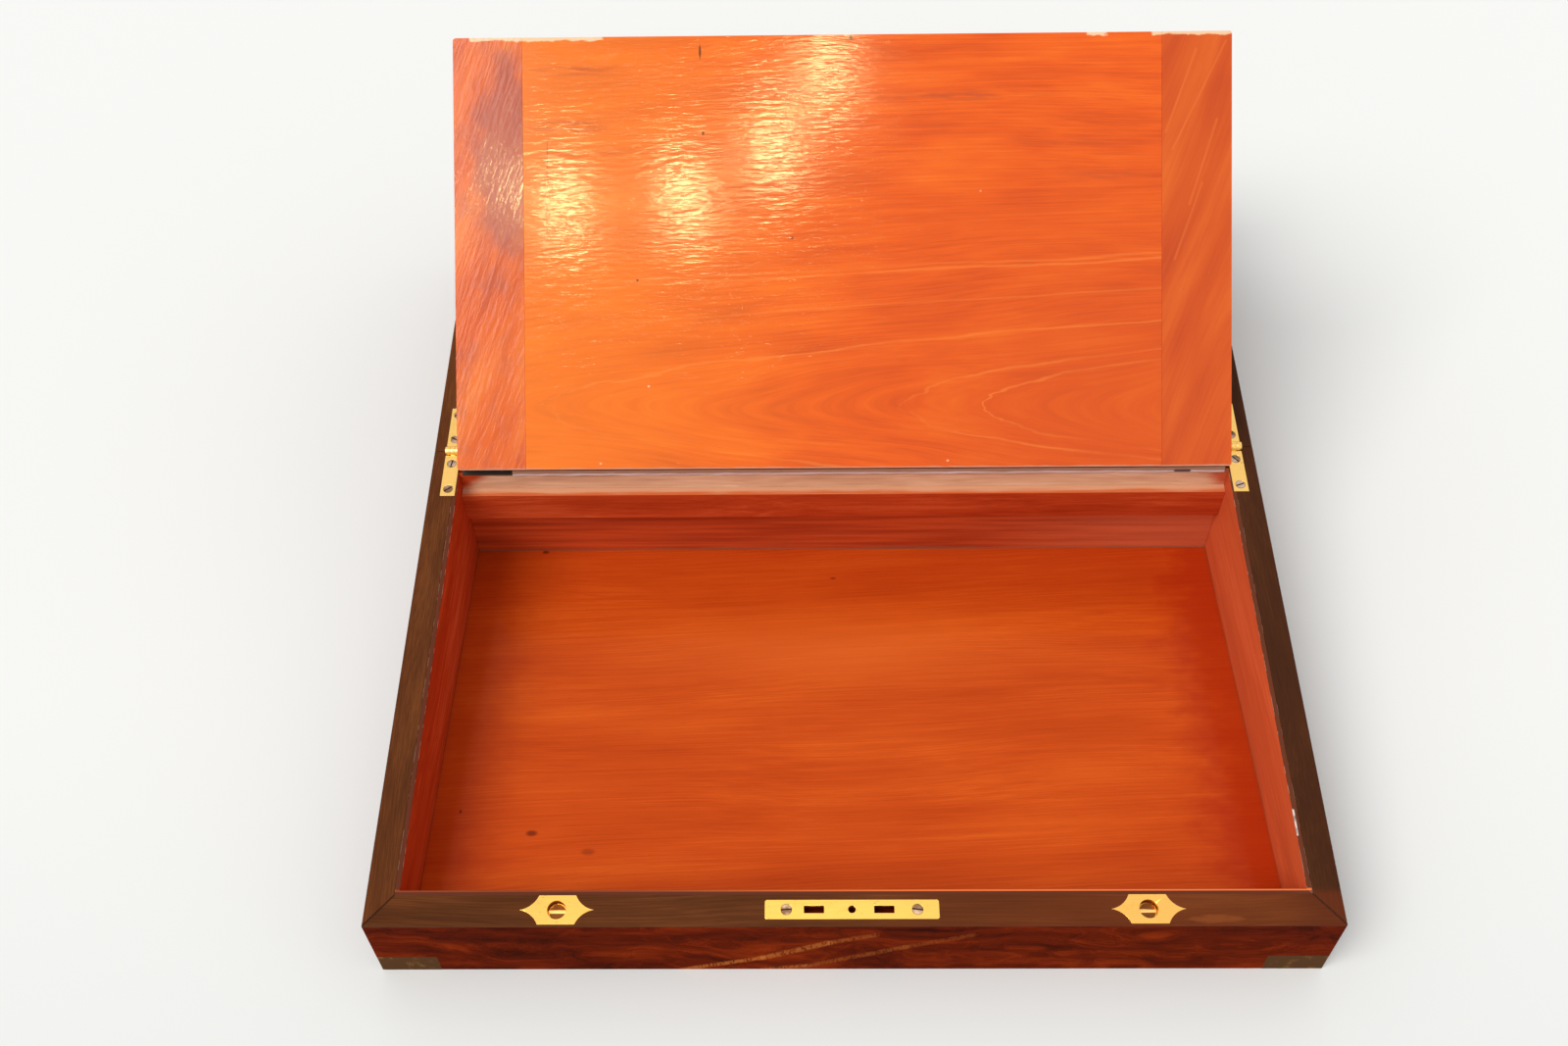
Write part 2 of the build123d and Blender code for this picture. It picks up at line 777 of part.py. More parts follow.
# --- base: lock and locating studs --------------------------------------------------------------
bar_middle = (bolt_start + bolt_end) / 2
bar_length = bolt_end - bolt_start
hook_starts = [x - slot_length / 2 + hook_lead for x in catch_slots]
with BuildPart() as lock_case:
    add(prism(case_plan, case_bottom, half_gap + plate_thickness).part)
    with BuildSketch(rim_top.offset(-plate_thickness)):
        with Locations((0, lock_station)):
            add(plate_shape.sketch)
    extrude(amount=plate_thickness)
    with BuildSketch(rim_plane.offset(bolt_top + bolt_play)):
        with Locations((bar_middle + bolt_travel / 2, lock_station)):
            Rectangle(bar_length + bolt_travel + 2 * bolt_play, bolt_bar_width + 2 * bolt_play)
    extrude(amount=-bolt_bar_height - 2 * bolt_play, mode=Mode.SUBTRACT)
    with BuildSketch(rim_plane.offset(bolt_top)):
        for x in hook_starts:
            with Locations((x + (hook_shank + bolt_travel) / 2, lock_station)):
                Rectangle(hook_shank + bolt_travel + 2 * bolt_play, slot_width)
    extrude(amount=-bolt_top, mode=Mode.SUBTRACT)
    add(keyway.part, mode=Mode.SUBTRACT)
    add(lock_screws.part, mode=Mode.SUBTRACT)
    with BuildSketch(rim_top):
        with Locations((0, lock_station)):
            Circle(guide_pin_radius)
    extrude(amount=guide_pin_height)
    chamfer(lock_case.faces().sort_by(Axis((0, 0, 0), rim_plane.z_dir))[-1].edges(), pin_point)
finish(lock_case, "lock_case")
finish(lock_screws, "lock_screws")

with BuildPart() as lock_bolt:
    with BuildSketch(rim_plane.offset(bolt_top)):
        with Locations((bar_middle, lock_station)):
            Rectangle(bar_length, bolt_bar_width)
    extrude(amount=-bolt_bar_height)
    with BuildSketch(rim_plane.offset(bolt_top)):
        for x in hook_starts:
            with Locations((x + hook_shank / 2, lock_station)):
                Rectangle(hook_shank, hook_width)
    extrude(amount=hook_height - bolt_top)
    with BuildSketch(rim_plane.offset(hook_under)):
        for x in hook_starts:
            with Locations((x + (hook_shank + hook_nose) / 2, lock_station)):
                Rectangle(hook_shank + hook_nose, hook_width)
    extrude(amount=hook_height - hook_under)
finish(lock_bolt, "lock_bolt")

with BuildPart() as locating_studs:
    add(stud_blanks.part)
    with BuildSketch(rim_top):
        with Locations(*locator_places(1)):
            Circle(stud_radius)
    extrude(amount=stud_height)
    tops = faces().group_by(Axis((0, 0, 0), rim_plane.z_dir))[-1]
    chamfer(tops.edges(), pin_point)
finish(locating_studs, "locating_studs")
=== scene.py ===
# %% [markdown]
# # A mahogany writing slope, opened on a pale table
#
# The box was drawn as solids first: walls, linings, flaps, brass and lock, each a node of its own
# with its place already in its mesh. This notebook dresses those solids. Every wood, metal and
# leather is built from nodes, the small slotted screws are laid out by Geometry Nodes, and the
# cloth that hinges the raised flap is a thin mesh of its own. Camera and lamps come first, so
# that each finish can be judged as soon as it is made.

# %% Load the frame
from math import pi, radians, sin

import bmesh
import bpy
from mathutils import Matrix, Vector


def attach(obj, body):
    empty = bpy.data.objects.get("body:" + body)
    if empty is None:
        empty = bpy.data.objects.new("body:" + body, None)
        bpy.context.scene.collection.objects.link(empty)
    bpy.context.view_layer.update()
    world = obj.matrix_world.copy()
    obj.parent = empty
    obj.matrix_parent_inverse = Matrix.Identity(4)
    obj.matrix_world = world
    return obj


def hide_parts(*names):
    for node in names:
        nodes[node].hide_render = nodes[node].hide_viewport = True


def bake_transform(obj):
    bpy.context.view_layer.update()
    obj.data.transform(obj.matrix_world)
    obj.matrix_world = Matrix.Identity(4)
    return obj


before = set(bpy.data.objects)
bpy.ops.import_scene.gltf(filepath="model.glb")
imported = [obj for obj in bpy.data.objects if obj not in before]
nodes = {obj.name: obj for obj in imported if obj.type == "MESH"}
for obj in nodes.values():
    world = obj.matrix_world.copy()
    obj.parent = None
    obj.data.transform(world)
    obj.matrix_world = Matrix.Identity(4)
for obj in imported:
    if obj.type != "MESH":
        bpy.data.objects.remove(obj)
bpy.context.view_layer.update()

mm = 0.001

# %% [markdown]
# ## Camera
#
# The writer stands in front of the open box and looks down into the lid. The sizes of the rims, the
# compartment and the raised flap are known, and how they narrow with distance fixes the camera's
# height, distance and focal length together. Its rotation is written as three turns in the order
# in which they are made on a tripod: pan, tilt, then the camera's slight lean.

# %% Set the camera
camera_place = Vector((-18.32, -510.01, 618.58)) * mm
camera_pan = radians(1.22)
camera_tilt = radians(40.30)
camera_lean = radians(-1.24)

camera = bpy.data.objects.new("camera", bpy.data.cameras.new("camera"))
camera.data.sensor_width = 36.0
camera.data.lens = 34.965
camera.data.clip_start = 10 * mm
turn = Matrix.Rotation(camera_pan, 4, "Z") @ Matrix.Rotation(camera_tilt, 4, "X")
turn = turn @ Matrix.Rotation(camera_lean, 4, "Z")
camera.matrix_world = Matrix.Translation(camera_place) @ turn
bpy.context.scene.collection.objects.link(camera)
bpy.context.scene.camera = camera
bpy.context.scene.view_settings.view_transform = "Standard"
print("camera", round(camera_place.length / mm), "mm from the foot of the hinge line")

# %% [markdown]
# ## Light and table
#
# A white world gives half of the light, and one broad lamp, high in front on the left, gives the
# rest, so a colour renders about as it is written and the shadows stay soft. The world is brighter
# in reflections than it is as a lamp, because polished brass has to have something white to
# mirror. Four small lamps over the lid stand where the raised flap mirrors them: they make the
# pale flecks in its polish; ray visibility keeps them out of the light that falls on anything.

# %% World and lamps
world_level = 0.65
key_level = 0.56
key_direction = Vector((-0.62, -0.50, 1.0))
key_softness = radians(36)
fleck_power = 0.66
fleck_size = 46 * mm
fleck_places = ((8, -276, 1013), (-48, -341, 968), (-142, -381, 937), (-270, -384, 925))

world = bpy.data.worlds.new("studio")
world.use_nodes = True
tree = world.node_tree
background = tree.nodes["Background"]
background.inputs["Color"].default_value = (1.0, 1.0, 0.995, 1.0)
path = tree.nodes.new("ShaderNodeLightPath")
seen = path.outputs["Is Camera Ray"]
for ray in ("Is Glossy Ray", "Is Transmission Ray"):
    either = tree.nodes.new("ShaderNodeMath")
    either.operation = "MAXIMUM"
    tree.links.new(seen, either.inputs[0])
    tree.links.new(path.outputs[ray], either.inputs[1])
    seen = either.outputs[0]
level = tree.nodes.new("ShaderNodeMapRange")
level.inputs["To Min"].default_value = world_level
tree.links.new(seen, level.inputs["Value"])
tree.links.new(level.outputs["Result"], background.inputs["Strength"])
bpy.context.scene.world = world


def lamp(name, kind, place, target, power, **settings):
    """A lamp at a place, aimed at a target."""
    light = bpy.data.lights.new(name, kind)
    light.energy = power
    for setting, value in settings.items():
        setattr(light, setting, value)
    thing = bpy.data.objects.new(name, light)
    thing.location = place
    thing.rotation_euler = (place - target).to_track_quat("Z", "Y").to_euler()
    bpy.context.scene.collection.objects.link(thing)
    return thing


lamp("key", "SUN", key_direction, Vector(), key_level * pi, angle=key_softness, color=(1.0, 0.99, 0.975))
flap_middle = Vector((0, 80, 160)) * mm
fleck_colour = (1.0, 0.86, 0.40)
for number, place in enumerate(fleck_places):
    place = Vector(place) * mm
    fleck = lamp(f"fleck_{number}", "AREA", place, flap_middle, fleck_power, size=fleck_size, shape="DISK",
                 color=fleck_colour)
    fleck.visible_diffuse = False

# %% [markdown]
# ## A kit for finishes
#
# Each finish is a small node tree around one Principled shader. Building twenty-five of them by
# hand would hide what differs under what repeats, so the calls that every finish needs are methods
# of one class. Its patterns read Object coordinates divided into millimetres, so a noise that is
# called "90 by 2" really is a streak 90 mm long and 2 mm wide on the wood.


# %% The finish class
def tint(red, green, blue):
    """A colour given as it looks on screen, 0 to 255, as the linear colour that a shader takes."""
    linear = []
    for channel in (red, green, blue):
        shown = channel / 255
        linear.append(shown / 12.92 if shown <= 0.04045 else ((shown + 0.055) / 1.055) ** 2.4)
    return (*linear, 1.0)


class Finish:
    """One finish: a node tree around a Principled shader, with patterns measured in millimetres."""

    def __init__(self, name, **shader_settings):
        self.material = bpy.data.materials.new(name)
        self.material.use_nodes = True
        self.tree = self.material.node_tree
        self.shader = self.tree.nodes["Principled BSDF"]
        for socket, value in shader_settings.items():
            self.feed(self.shader.inputs[socket.replace("_", " ")], value)

    def feed(self, socket, value):
        """Links an output to a socket, or sets the socket's own number or colour."""
        if isinstance(value, bpy.types.NodeSocket):
            self.tree.links.new(value, socket)
        else:
            socket.default_value = value

    def paint(self, colour):
        self.feed(self.shader.inputs["Base Color"], colour)

    def node(self, kind, inputs=None, **settings):
        node = self.tree.nodes.new("ShaderNode" + kind)
        for setting, value in settings.items():
            setattr(node, setting, value)
        for socket, value in (inputs or {}).items():
            self.feed(node.inputs[socket], value)
        return node

    def place(self, origin=(0, 0, 0), turn=(0, 0, 0)):
        """The point in millimetres, in axes that start at origin and are turned by the given angles."""
        inputs = {
            "Vector": self.node("TexCoord").outputs["Object"],
            "Location": [length * mm for length in origin],
            "Rotation": turn,
            "Scale": (mm, mm, mm),
        }
        return self.node("Mapping", inputs, vector_type="TEXTURE").outputs[0]

    def axes(self, point):
        return self.node("SeparateXYZ", {0: point}).outputs[:3]

    def join(self, x, y, z):
        return self.node("CombineXYZ", {0: x, 1: y, 2: z}).outputs[0]

    def vector(self, operation, a, b):
        return self.node("VectorMath", {0: a, 1: b}, operation=operation).outputs[0]

    def calc(self, operation, a, b=0.0, c=0.0, clamp=False):
        return self.node("Math", {0: a, 1: b, 2: c}, operation=operation, use_clamp=clamp).outputs[0]

    def times(self, a, b, plus=None):
        """a times b, and a third value added where one is given."""
        if plus is None:
            return self.calc("MULTIPLY", a, b)
        return self.calc("MULTIPLY_ADD", a, b, plus)

    def span(self, value, low, high, to_low=0.0, to_high=1.0):
        """Maps low..high smoothly onto to_low..to_high."""
        inputs = {"Value": value, "From Min": low, "From Max": high, "To Min": to_low, "To Max": to_high}
        return self.node("MapRange", inputs, interpolation_type="SMOOTHSTEP").outputs[0]

    def noise(self, point, size, detail=2.0, roughness=0.5, shift=0.0):
        """Cloudy variation from 0 to 1 whose clouds are about size millimetres along each axis."""
        inputs = {"Vector": point, "Location": (shift, shift, shift), "Scale": [1 / s for s in size]}
        stretched = self.node("Mapping", inputs).outputs[0]
        inputs = {"Vector": stretched, "Scale": 1.0, "Detail": detail, "Roughness": roughness}
        return self.node("TexNoise", inputs).outputs["Fac"]

    def mix(self, factor, a, b, strength=1.0):
        """Colour a, with colour b over it by factor and strength."""
        if strength != 1.0:
            factor = self.times(factor, strength)
        # sockets 6 and 7 of a Mix node are its two colours, and output 2 is the mixed one
        return self.node("Mix", {0: factor, 6: a, 7: b}, data_type="RGBA").outputs[2]

    def ramp(self, factor, *stops):
        node = self.node("ValToRGB", {0: factor})
        elements = node.color_ramp.elements
        elements[0].position, elements[0].color = stops[0]
        elements[1].position, elements[1].color = stops[-1]
        for position, colour in stops[1:-1]:
            elements.new(position).color = colour
        return node.outputs["Color"]

    def spot(self, point, centre, reach, core=0.35):
        """1 in the core of a centre, falling to 0 at reach millimetres along each axis."""
        away = self.vector("DIVIDE", self.vector("SUBTRACT", point, centre), reach)
        distance = self.node("VectorMath", {0: away}, operation="LENGTH").outputs["Value"]
        return self.span(distance, core, 1.0, 1.0, 0.0)

    def stroke(self, point, start, end, width):
        """1 along the line from start to end, falling to 0 at half its width to either side."""
        run = Vector(end) - Vector(start)
        away = self.vector("SUBTRACT", point, start)
        along = self.node("VectorMath", {0: away, 1: run}, operation="DOT_PRODUCT").outputs["Value"]
        part = self.calc("DIVIDE", along, run.length_squared, clamp=True)
        foot = self.node("VectorMath", {0: run, "Scale": part}, operation="SCALE").outputs[0]
        gap = self.node("VectorMath", {0: away, 1: foot}, operation="DISTANCE").outputs["Value"]
        return self.span(gap, 0.15 * width, 0.5 * width, 1.0, 0.0)

    def bump(self, height, depth):
        """Raises the surface and its clear coat by up to depth millimetres where height is 1."""
        raised = self.node("Bump", {"Height": height, "Distance": depth * mm}).outputs[0]
        self.feed(self.shader.inputs["Normal"], raised)
        self.feed(self.shader.inputs["Coat Normal"], raised)


def dress(finish, *names):
    """Gives CAD nodes a finish."""
    for name in names:
        mesh = nodes[name].data
        mesh.materials.clear()
        mesh.materials.append(finish.material)


# %% [markdown]
# ## The table
#
# A pale matt sheet, wide enough to reach past every edge of the view. It is painted a little greyer
# towards the writer, as shade in front of the box. It is only the stage.

# %% Lay the table
table_reach = 6.0
table_shaded_front_tone = (0.80, 0.82, 0.805, 1.0)
table_back_tone = (0.875, 0.88, 0.865, 1.0)
table_cloud_tone = (0.845, 0.845, 0.84, 1.0)

table_mesh = bpy.data.meshes.new("table")
corners = [(x * table_reach, y * table_reach, 0.0) for x, y in ((-1, -1), (1, -1), (1, 1), (-1, 1))]
table_mesh.from_pydata(corners, [], [(0, 1, 2, 3)])
table = bpy.data.objects.new("table", table_mesh)
bpy.context.scene.collection.objects.link(table)

table_finish = Finish("pale_table", Roughness=0.9, Specular_IOR_Level=0.1)
sheet = table_finish.place()
# painted shade: the table darkens towards the writer, in front of the box
away = table_finish.span(table_finish.axes(sheet)[1], -380.0, -60.0)
table_tone = table_finish.mix(away, table_shaded_front_tone, table_back_tone)
cloud = table_finish.noise(sheet, (700, 700, 700), detail=1.0)
table_finish.paint(table_finish.mix(cloud, table_tone, table_cloud_tone, 0.3))
table_mesh.materials.append(table_finish.material)
print("table:", 2 * table_reach, "m wide")

# %% [markdown]
# ## Mahogany
#
# The box is solid and veneered mahogany under a thin French polish. Seen close, the wood is three
# things laid over each other: slow drifts of tone a finger wide, streaks a millimetre or so wide
# that run the length of the board and wander a little, and short dark pores. The polish is a clear
# coat over that, and the grain telegraphs through it as a faint ripple. A wood here is one function
# of those measures, so a board, its clamps and the linings differ by colour, grain and polish only.


# %% The wood function
def wood(name, dark, middle, light, turn=(0, 0, 0), origin=(0, 0, 0), figure=None, streak=1.6,
         drift=20, clouds=0.45, contrast=1.0, pores=0.25, ripple=0.03, coat=0.3, coat_roughness=0.16,
         marks=None):
    """A polished wood with its grain along the turned X axis.

    figure(finish, point) bends the grain, and marks(finish, point, colour) adds to the colour.
    """
    finish = Finish(name, Specular_IOR_Level=0.0, Coat_Weight=coat, Coat_Roughness=coat_roughness)
    seed = sum(ord(letter) for letter in name) % 97
    point = finish.place(origin, turn)
    bent = figure(finish, point) if figure else point
    sway = finish.times(finish.noise(point, (190, 45, 45), detail=1.0, shift=seed), 16.0)
    swayed = finish.vector("ADD", bent, finish.join(0.0, sway, sway))
    slow = finish.noise(swayed, (5 * drift, drift, drift), detail=2.0, shift=seed + 3)
    streaks = finish.noise(swayed, (100, streak, 2 * streak), detail=3.0, roughness=0.6, shift=seed + 5)
    fibres = finish.noise(swayed, (16, 0.45, 1.0), detail=2.0, shift=seed + 7)
    open_pores = finish.span(finish.noise(swayed, (7, 0.35, 0.8), detail=1.0, shift=seed + 9), 0.60, 0.74)
    tone = finish.times(slow, clouds)
    tone = finish.times(streaks, 0.7 * (1 - clouds), tone)
    tone = finish.times(fibres, 0.3 * (1 - clouds), tone)
    spread = 0.16 / contrast
    colour = finish.ramp(tone, (0.5 - spread, dark), (0.5, middle), (0.5 + spread, light))
    colour = finish.mix(open_pores, colour, dark, pores)
    if marks:
        colour = marks(finish, point, colour)
    finish.paint(colour)
    finish.feed(finish.shader.inputs["Roughness"], finish.span(fibres, 0.2, 0.8, 0.44, 0.58))
    flecks = finish.noise(swayed, (10, 1.6, 3.0), detail=2.0, shift=seed + 11)
    height = finish.times(streaks, 0.08, flecks)
    height = finish.times(open_pores, -0.15, height)
    finish.bump(height, ripple)
    return finish


def lie(lean, swing=0.0):
    """Turn of axes that lean back from the table and are swung round in their own plane."""
    return (Matrix.Rotation(lean, 3, "X") @ Matrix.Rotation(swing, 3, "Z")).to_euler()


# %% [markdown]
# ## The writing flap
#
# The near flap is the brightest wood of the box: a wide plain-sawn board with a clamp across each
# end that keeps it flat. A plain-sawn board is cut along the tree beside its heart, so the growth
# rings come out as nested arches on its face. Here each point's height over the flap is swapped
# for the number of the ring that it lies in, and every streak of the wood then follows the arches
# by itself. The flap's axes are X along the board, Y from the hinge to the free edge and Z through
# the wood.

# %% Grain of the flap
rim_slope = radians(7.6)
flap_raise = radians(146)
flap_slant = pi - flap_raise + rim_slope
flap_origin = (0, -13.6, 71.185)
flap_turn = lie(flap_slant)
arch_axis = 31.0
arch_slope = 5.6
arch_reach = 190.0
print("flap slant:", round(flap_slant / pi * 180, 1), "degrees")


def ring_number(finish, point):
    """Number of the ring: arches about a line near the hinge that open to the right."""
    x, y, _ = finish.axes(point)
    rise = finish.calc("SUBTRACT", y, arch_axis)
    open_end = finish.times(x, -arch_slope, arch_slope * arch_reach)
    return finish.calc("SQRT", finish.times(rise, rise, open_end))


def arches(finish, point):
    """The point with the number of its ring for its height over the flap."""
    x, _, z = finish.axes(point)
    return finish.join(x, ring_number(finish, point), z)


# %% [markdown]
# What a century did to the flap is painted over the grain, and its left side is made paler. A mark
# is a spot or a stroke whose middle lies just under the visible face, and a noise breaks up those
# without a clean outline.

# %% Marks on the flap
flap_face = 10
flap_end = 207.0
mark_depth = 9


def flap_marks(finish, point, colour):
    """A paler left side, a redder low right corner, pale ring lines, brown stains and small knocks."""
    x, y, _ = finish.axes(point)
    colour = finish.mix(finish.span(x, 40.0, -170.0), colour, tint(255, 148, 44), 0.42)
    low_right = finish.times(finish.span(x, -40.0, 150.0), finish.span(y, 200.0, 20.0))
    colour = finish.mix(low_right, colour, tint(206, 78, 14), 0.6)
    wobble = finish.noise(point, (34, 7, 20), detail=3.0, shift=31)
    ring = finish.times(wobble, 3.0, ring_number(finish, point))
    rise = finish.calc("SUBTRACT", y, arch_axis)
    steepness = finish.calc("SQRT", finish.times(rise, rise, (arch_slope / 2) ** 2))
    ring_width = finish.calc("DIVIDE", ring, steepness)
    fade = finish.noise(point, (60, 30, 20), detail=1.0, shift=5)
    for number, strength in ((27.7, 0.5), (31.7, 0.5), (44.4, 0.4), (59.0, 0.25), (72.5, 0.4), (74.5, 0.3)):
        gap = finish.calc("ABSOLUTE", finish.calc("SUBTRACT", ring, number))
        gap = finish.times(gap, ring_width)
        line = finish.times(finish.span(gap, 0.8, 0.2), finish.span(fade, 0.3, 0.6))
        colour = finish.mix(line, colour, tint(252, 152, 68), 0.66 * strength)
    for centre, reach, strength in (
        ((54, 178), (64, 5), 0.5),
        ((-2, 190), (40, 4), 0.3),
        ((-126, 192), (34, 5), 0.5),
        ((-132, 165), (30, 6), 0.55),
        ((-122, 152), (36, 4), 0.35),
        ((128, 140), (36, 4), 0.4),
        ((110, 156), (50, 3), 0.3),
        ((-50, 124), (70, 3), 0.3),
    ):
        broken = finish.noise(point, (14, 1.6, 9), detail=3.0, shift=reach[0])
        stain = finish.spot(point, (*centre, flap_face), (*reach, mark_depth), core=0.0)
        stain = finish.times(stain, finish.span(broken, 0.38, 0.62))
        colour = finish.mix(stain, colour, tint(172, 70, 36), strength)
    scratch = finish.stroke(point, (-140.7, 111, flap_face), (-140.2, 158, flap_face), 1.1)
    colour = finish.mix(scratch, colour, tint(150, 62, 40), 0.5)
    for centre, reach in (
        ((-23.8, 111.5), (1.2, 0.9)),
        ((-97.7, 91.8), (0.9, 0.8)),
        ((-65.8, 161.4), (0.8, 1.6)),
        ((-67.1, 200.0), (0.8, 4.6)),
        ((4.8, 206.1), (1.4, 1.6)),
    ):
        knock = finish.spot(point, (*centre, flap_face), (*reach, mark_depth))
        colour = finish.mix(knock, colour, tint(84, 36, 26), 0.85)
    for x_place, y_place, strength in ((-92.7, 41.3, 0.8), (-116, 4.5, 0.6), (50, 5, 0.6), (66, 133, 0.3)):
        fleck = finish.spot(point, (x_place, y_place, flap_face), (0.8, 0.7, mark_depth))
        colour = finish.mix(fleck, colour, tint(255, 214, 170), strength)
    return worn_edges(finish, point, colour)


def worn_edges(finish, point, colour):
    """Dirt along the hinge edge, and the free edge rubbed to a line of bare pale wood in places."""
    x, y, z = finish.axes(point)
    low = finish.times(finish.noise(point, (9, 9, 9), detail=2.0, shift=3), 1.2, y)
    colour = finish.mix(finish.span(low, 3.3, 2.5), colour, tint(196, 150, 124), 0.75)
    nibbled = finish.noise(point, (5, 5, 3), detail=3.0)
    ragged = finish.times(nibbled, 3.0, y)
    depth = finish.times(nibbled, 12.0, z)
    bare_edge = finish.span(ragged, flap_end, flap_end + 0.8)
    bare_edge = finish.times(bare_edge, finish.span(depth, 11.6, 13.4))
    place = finish.times(nibbled, 9.0, x)
    for start, end in ((-173, -108), (119, 132), (152, 190)):
        along = finish.span(place, start, start + 2.0)
        along = finish.times(along, finish.span(place, end, end - 2.0))
        colour = finish.mix(finish.times(bare_edge, along), colour, tint(246, 216, 174), 0.8)
    return colour


def left_clamp_marks(finish, point, colour):
    """A ragged purple-grey stain on the left clamp, where something wet has stood."""
    board = finish.place(flap_origin, flap_turn)
    torn = finish.noise(board, (11, 16, 9), detail=3.0, shift=8)
    stained = finish.spot(board, (-161, 150, flap_face), (22, 72, 20), core=0.0)
    stained = finish.times(torn, 1.1, stained)
    colour = finish.mix(finish.span(stained, 0.50, 1.15), colour, tint(168, 84, 70), 0.75)
    return worn_edges(finish, board, colour)


def right_clamp_marks(finish, point, colour):
    """Pale lines that slant up the right clamp, where its grain runs out of the face."""
    board = finish.place(flap_origin, flap_turn)
    for start, end, width in (
        ((153.8, 160), (168, 199), 1.6),
        ((157, 152), (182.2, 203), 1.3),
        ((165, 126), (178, 166), 1.8),
        ((158, 100), (171, 136), 1.6),
    ):
        line = finish.stroke(board, (*start, flap_face), (*end, flap_face), width)
        colour = finish.mix(line, colour, tint(246, 130, 54), 0.24)
    return worn_edges(finish, board, colour)


# %% Finish the flaps
flap_tones = (tint(198, 66, 6), tint(230, 89, 8), tint(246, 114, 20))
left_clamp_tones = (tint(200, 76, 24), tint(226, 102, 38), tint(240, 126, 54))
right_clamp_tones = (tint(188, 62, 12), tint(208, 82, 18), tint(226, 104, 28))
clamp_run_out = 0.35
flap_wood = dict(origin=flap_origin, ripple=0.09, coat=0.55, coat_roughness=0.115, pores=0.14)
clamp_wood = dict(turn=lie(flap_slant, pi / 2 - clamp_run_out), drift=16, clouds=0.7, **flap_wood)
near_board = wood("near_flap_board_wood", *flap_tones, turn=flap_turn, figure=arches, streak=0.9, drift=11,
                  contrast=0.78, marks=flap_marks, **flap_wood)
left_clamp = wood("left_clamp_wood", *left_clamp_tones, marks=left_clamp_marks, **clamp_wood)
right_clamp = wood("right_clamp_wood", *right_clamp_tones, contrast=0.7, marks=right_clamp_marks,
                   **clamp_wood)
dress(near_board, "near_flap_board")
dress(left_clamp, "near_flap_left_clamp")
dress(right_clamp, "near_flap_right_clamp")

far_board = wood("far_flap_board_wood", *flap_tones, turn=lie(rim_slope), pores=0.15)
far_clamps = wood("far_flap_clamp_wood", *right_clamp_tones, turn=lie(rim_slope, pi / 2), pores=0.15)
dress(far_board, "far_flap_board")
dress(far_clamps, "far_flap_left_clamp", "far_flap_right_clamp")
print("flap woods:", [finish.material.name for finish in (near_board, left_clamp, right_clamp, far_board)])

# %% [markdown]
# ## The inside of the lid
#
# Floor and linings are a redder mahogany, with painted shade and dark polish gathered along the walls.
# The wall under the hinge and the top of the ledge before it are painted pale as a painted reflection,
# all but a corner at each end, behind a slanting edge, and the wall under the ledge. The linings end
# in the plane of the rims, so their stained tops are found by their height over that plane.

# %% Marks inside the lid
floor_face = 12
hinge_height = 73
ledge_top = -10.35


def rim_place(finish):
    """The point on axes that lie in the plane of the rims, where Z is the height over that plane."""
    return finish.place(origin=(0, 0, hinge_height), turn=lie(rim_slope))


def floor_marks(finish, point, colour):
    """Painted shade and dark polish along the walls, a painted pool of light mid-floor, small dark knots.
    """
    board = finish.place()
    x, y, _ = finish.axes(board)
    edge = finish.noise(board, (40, 14, 40), detail=2.0, shift=17)
    aside = finish.times(edge, 30.0, finish.calc("ABSOLUTE", x))
    along = finish.times(edge, 24.0, y)
    mottle = finish.times(finish.noise(board, (9, 5, 5), detail=3.0, shift=23), 26.0, aside)
    # painted shade along the side walls, the hinge wall and the front, mixed with dark polish gathered
    # there
    behind = finish.span(along, -62.0, 10.0, 0.0, 0.6)
    before = finish.times(finish.span(along, -176.0, -236.0), 0.5)
    wall_shade_and_polish = finish.calc("MAXIMUM", finish.span(mottle, 172.0, 208.0), behind)
    wall_shade_and_polish = finish.calc("MAXIMUM", wall_shade_and_polish, before)
    wall_shade_and_polish = finish.times(wall_shade_and_polish, finish.span(x, -190.0, 190.0, 0.7, 1.3))
    colour = finish.mix(wall_shade_and_polish, colour, tint(168, 40, 13), 0.56)
    # a painted pool of light in the middle of the floor
    painted_light_pool = finish.spot(board, (-10, -76, floor_face), (150, 34, 20), core=0.0)
    colour = finish.mix(painted_light_pool, colour, tint(236, 112, 40), 0.35)
    for centre, reach, strength in (
        ((-151.9, -14.6), (2.4, 1.5), 0.8),
        ((-4.3, -32.6), (2.0, 1.0), 0.6),
        ((-174.5, -165.5), (0.9, 1.5), 0.8),
        ((-141.1, -176.5), (3.6, 2.0), 0.75),
        ((-115.1, -185.8), (4.2, 2.4), 0.4),
    ):
        knot = finish.spot(board, (*centre, floor_face), (*reach, mark_depth))
        colour = finish.mix(knot, colour, tint(96, 26, 14), strength)
    return colour


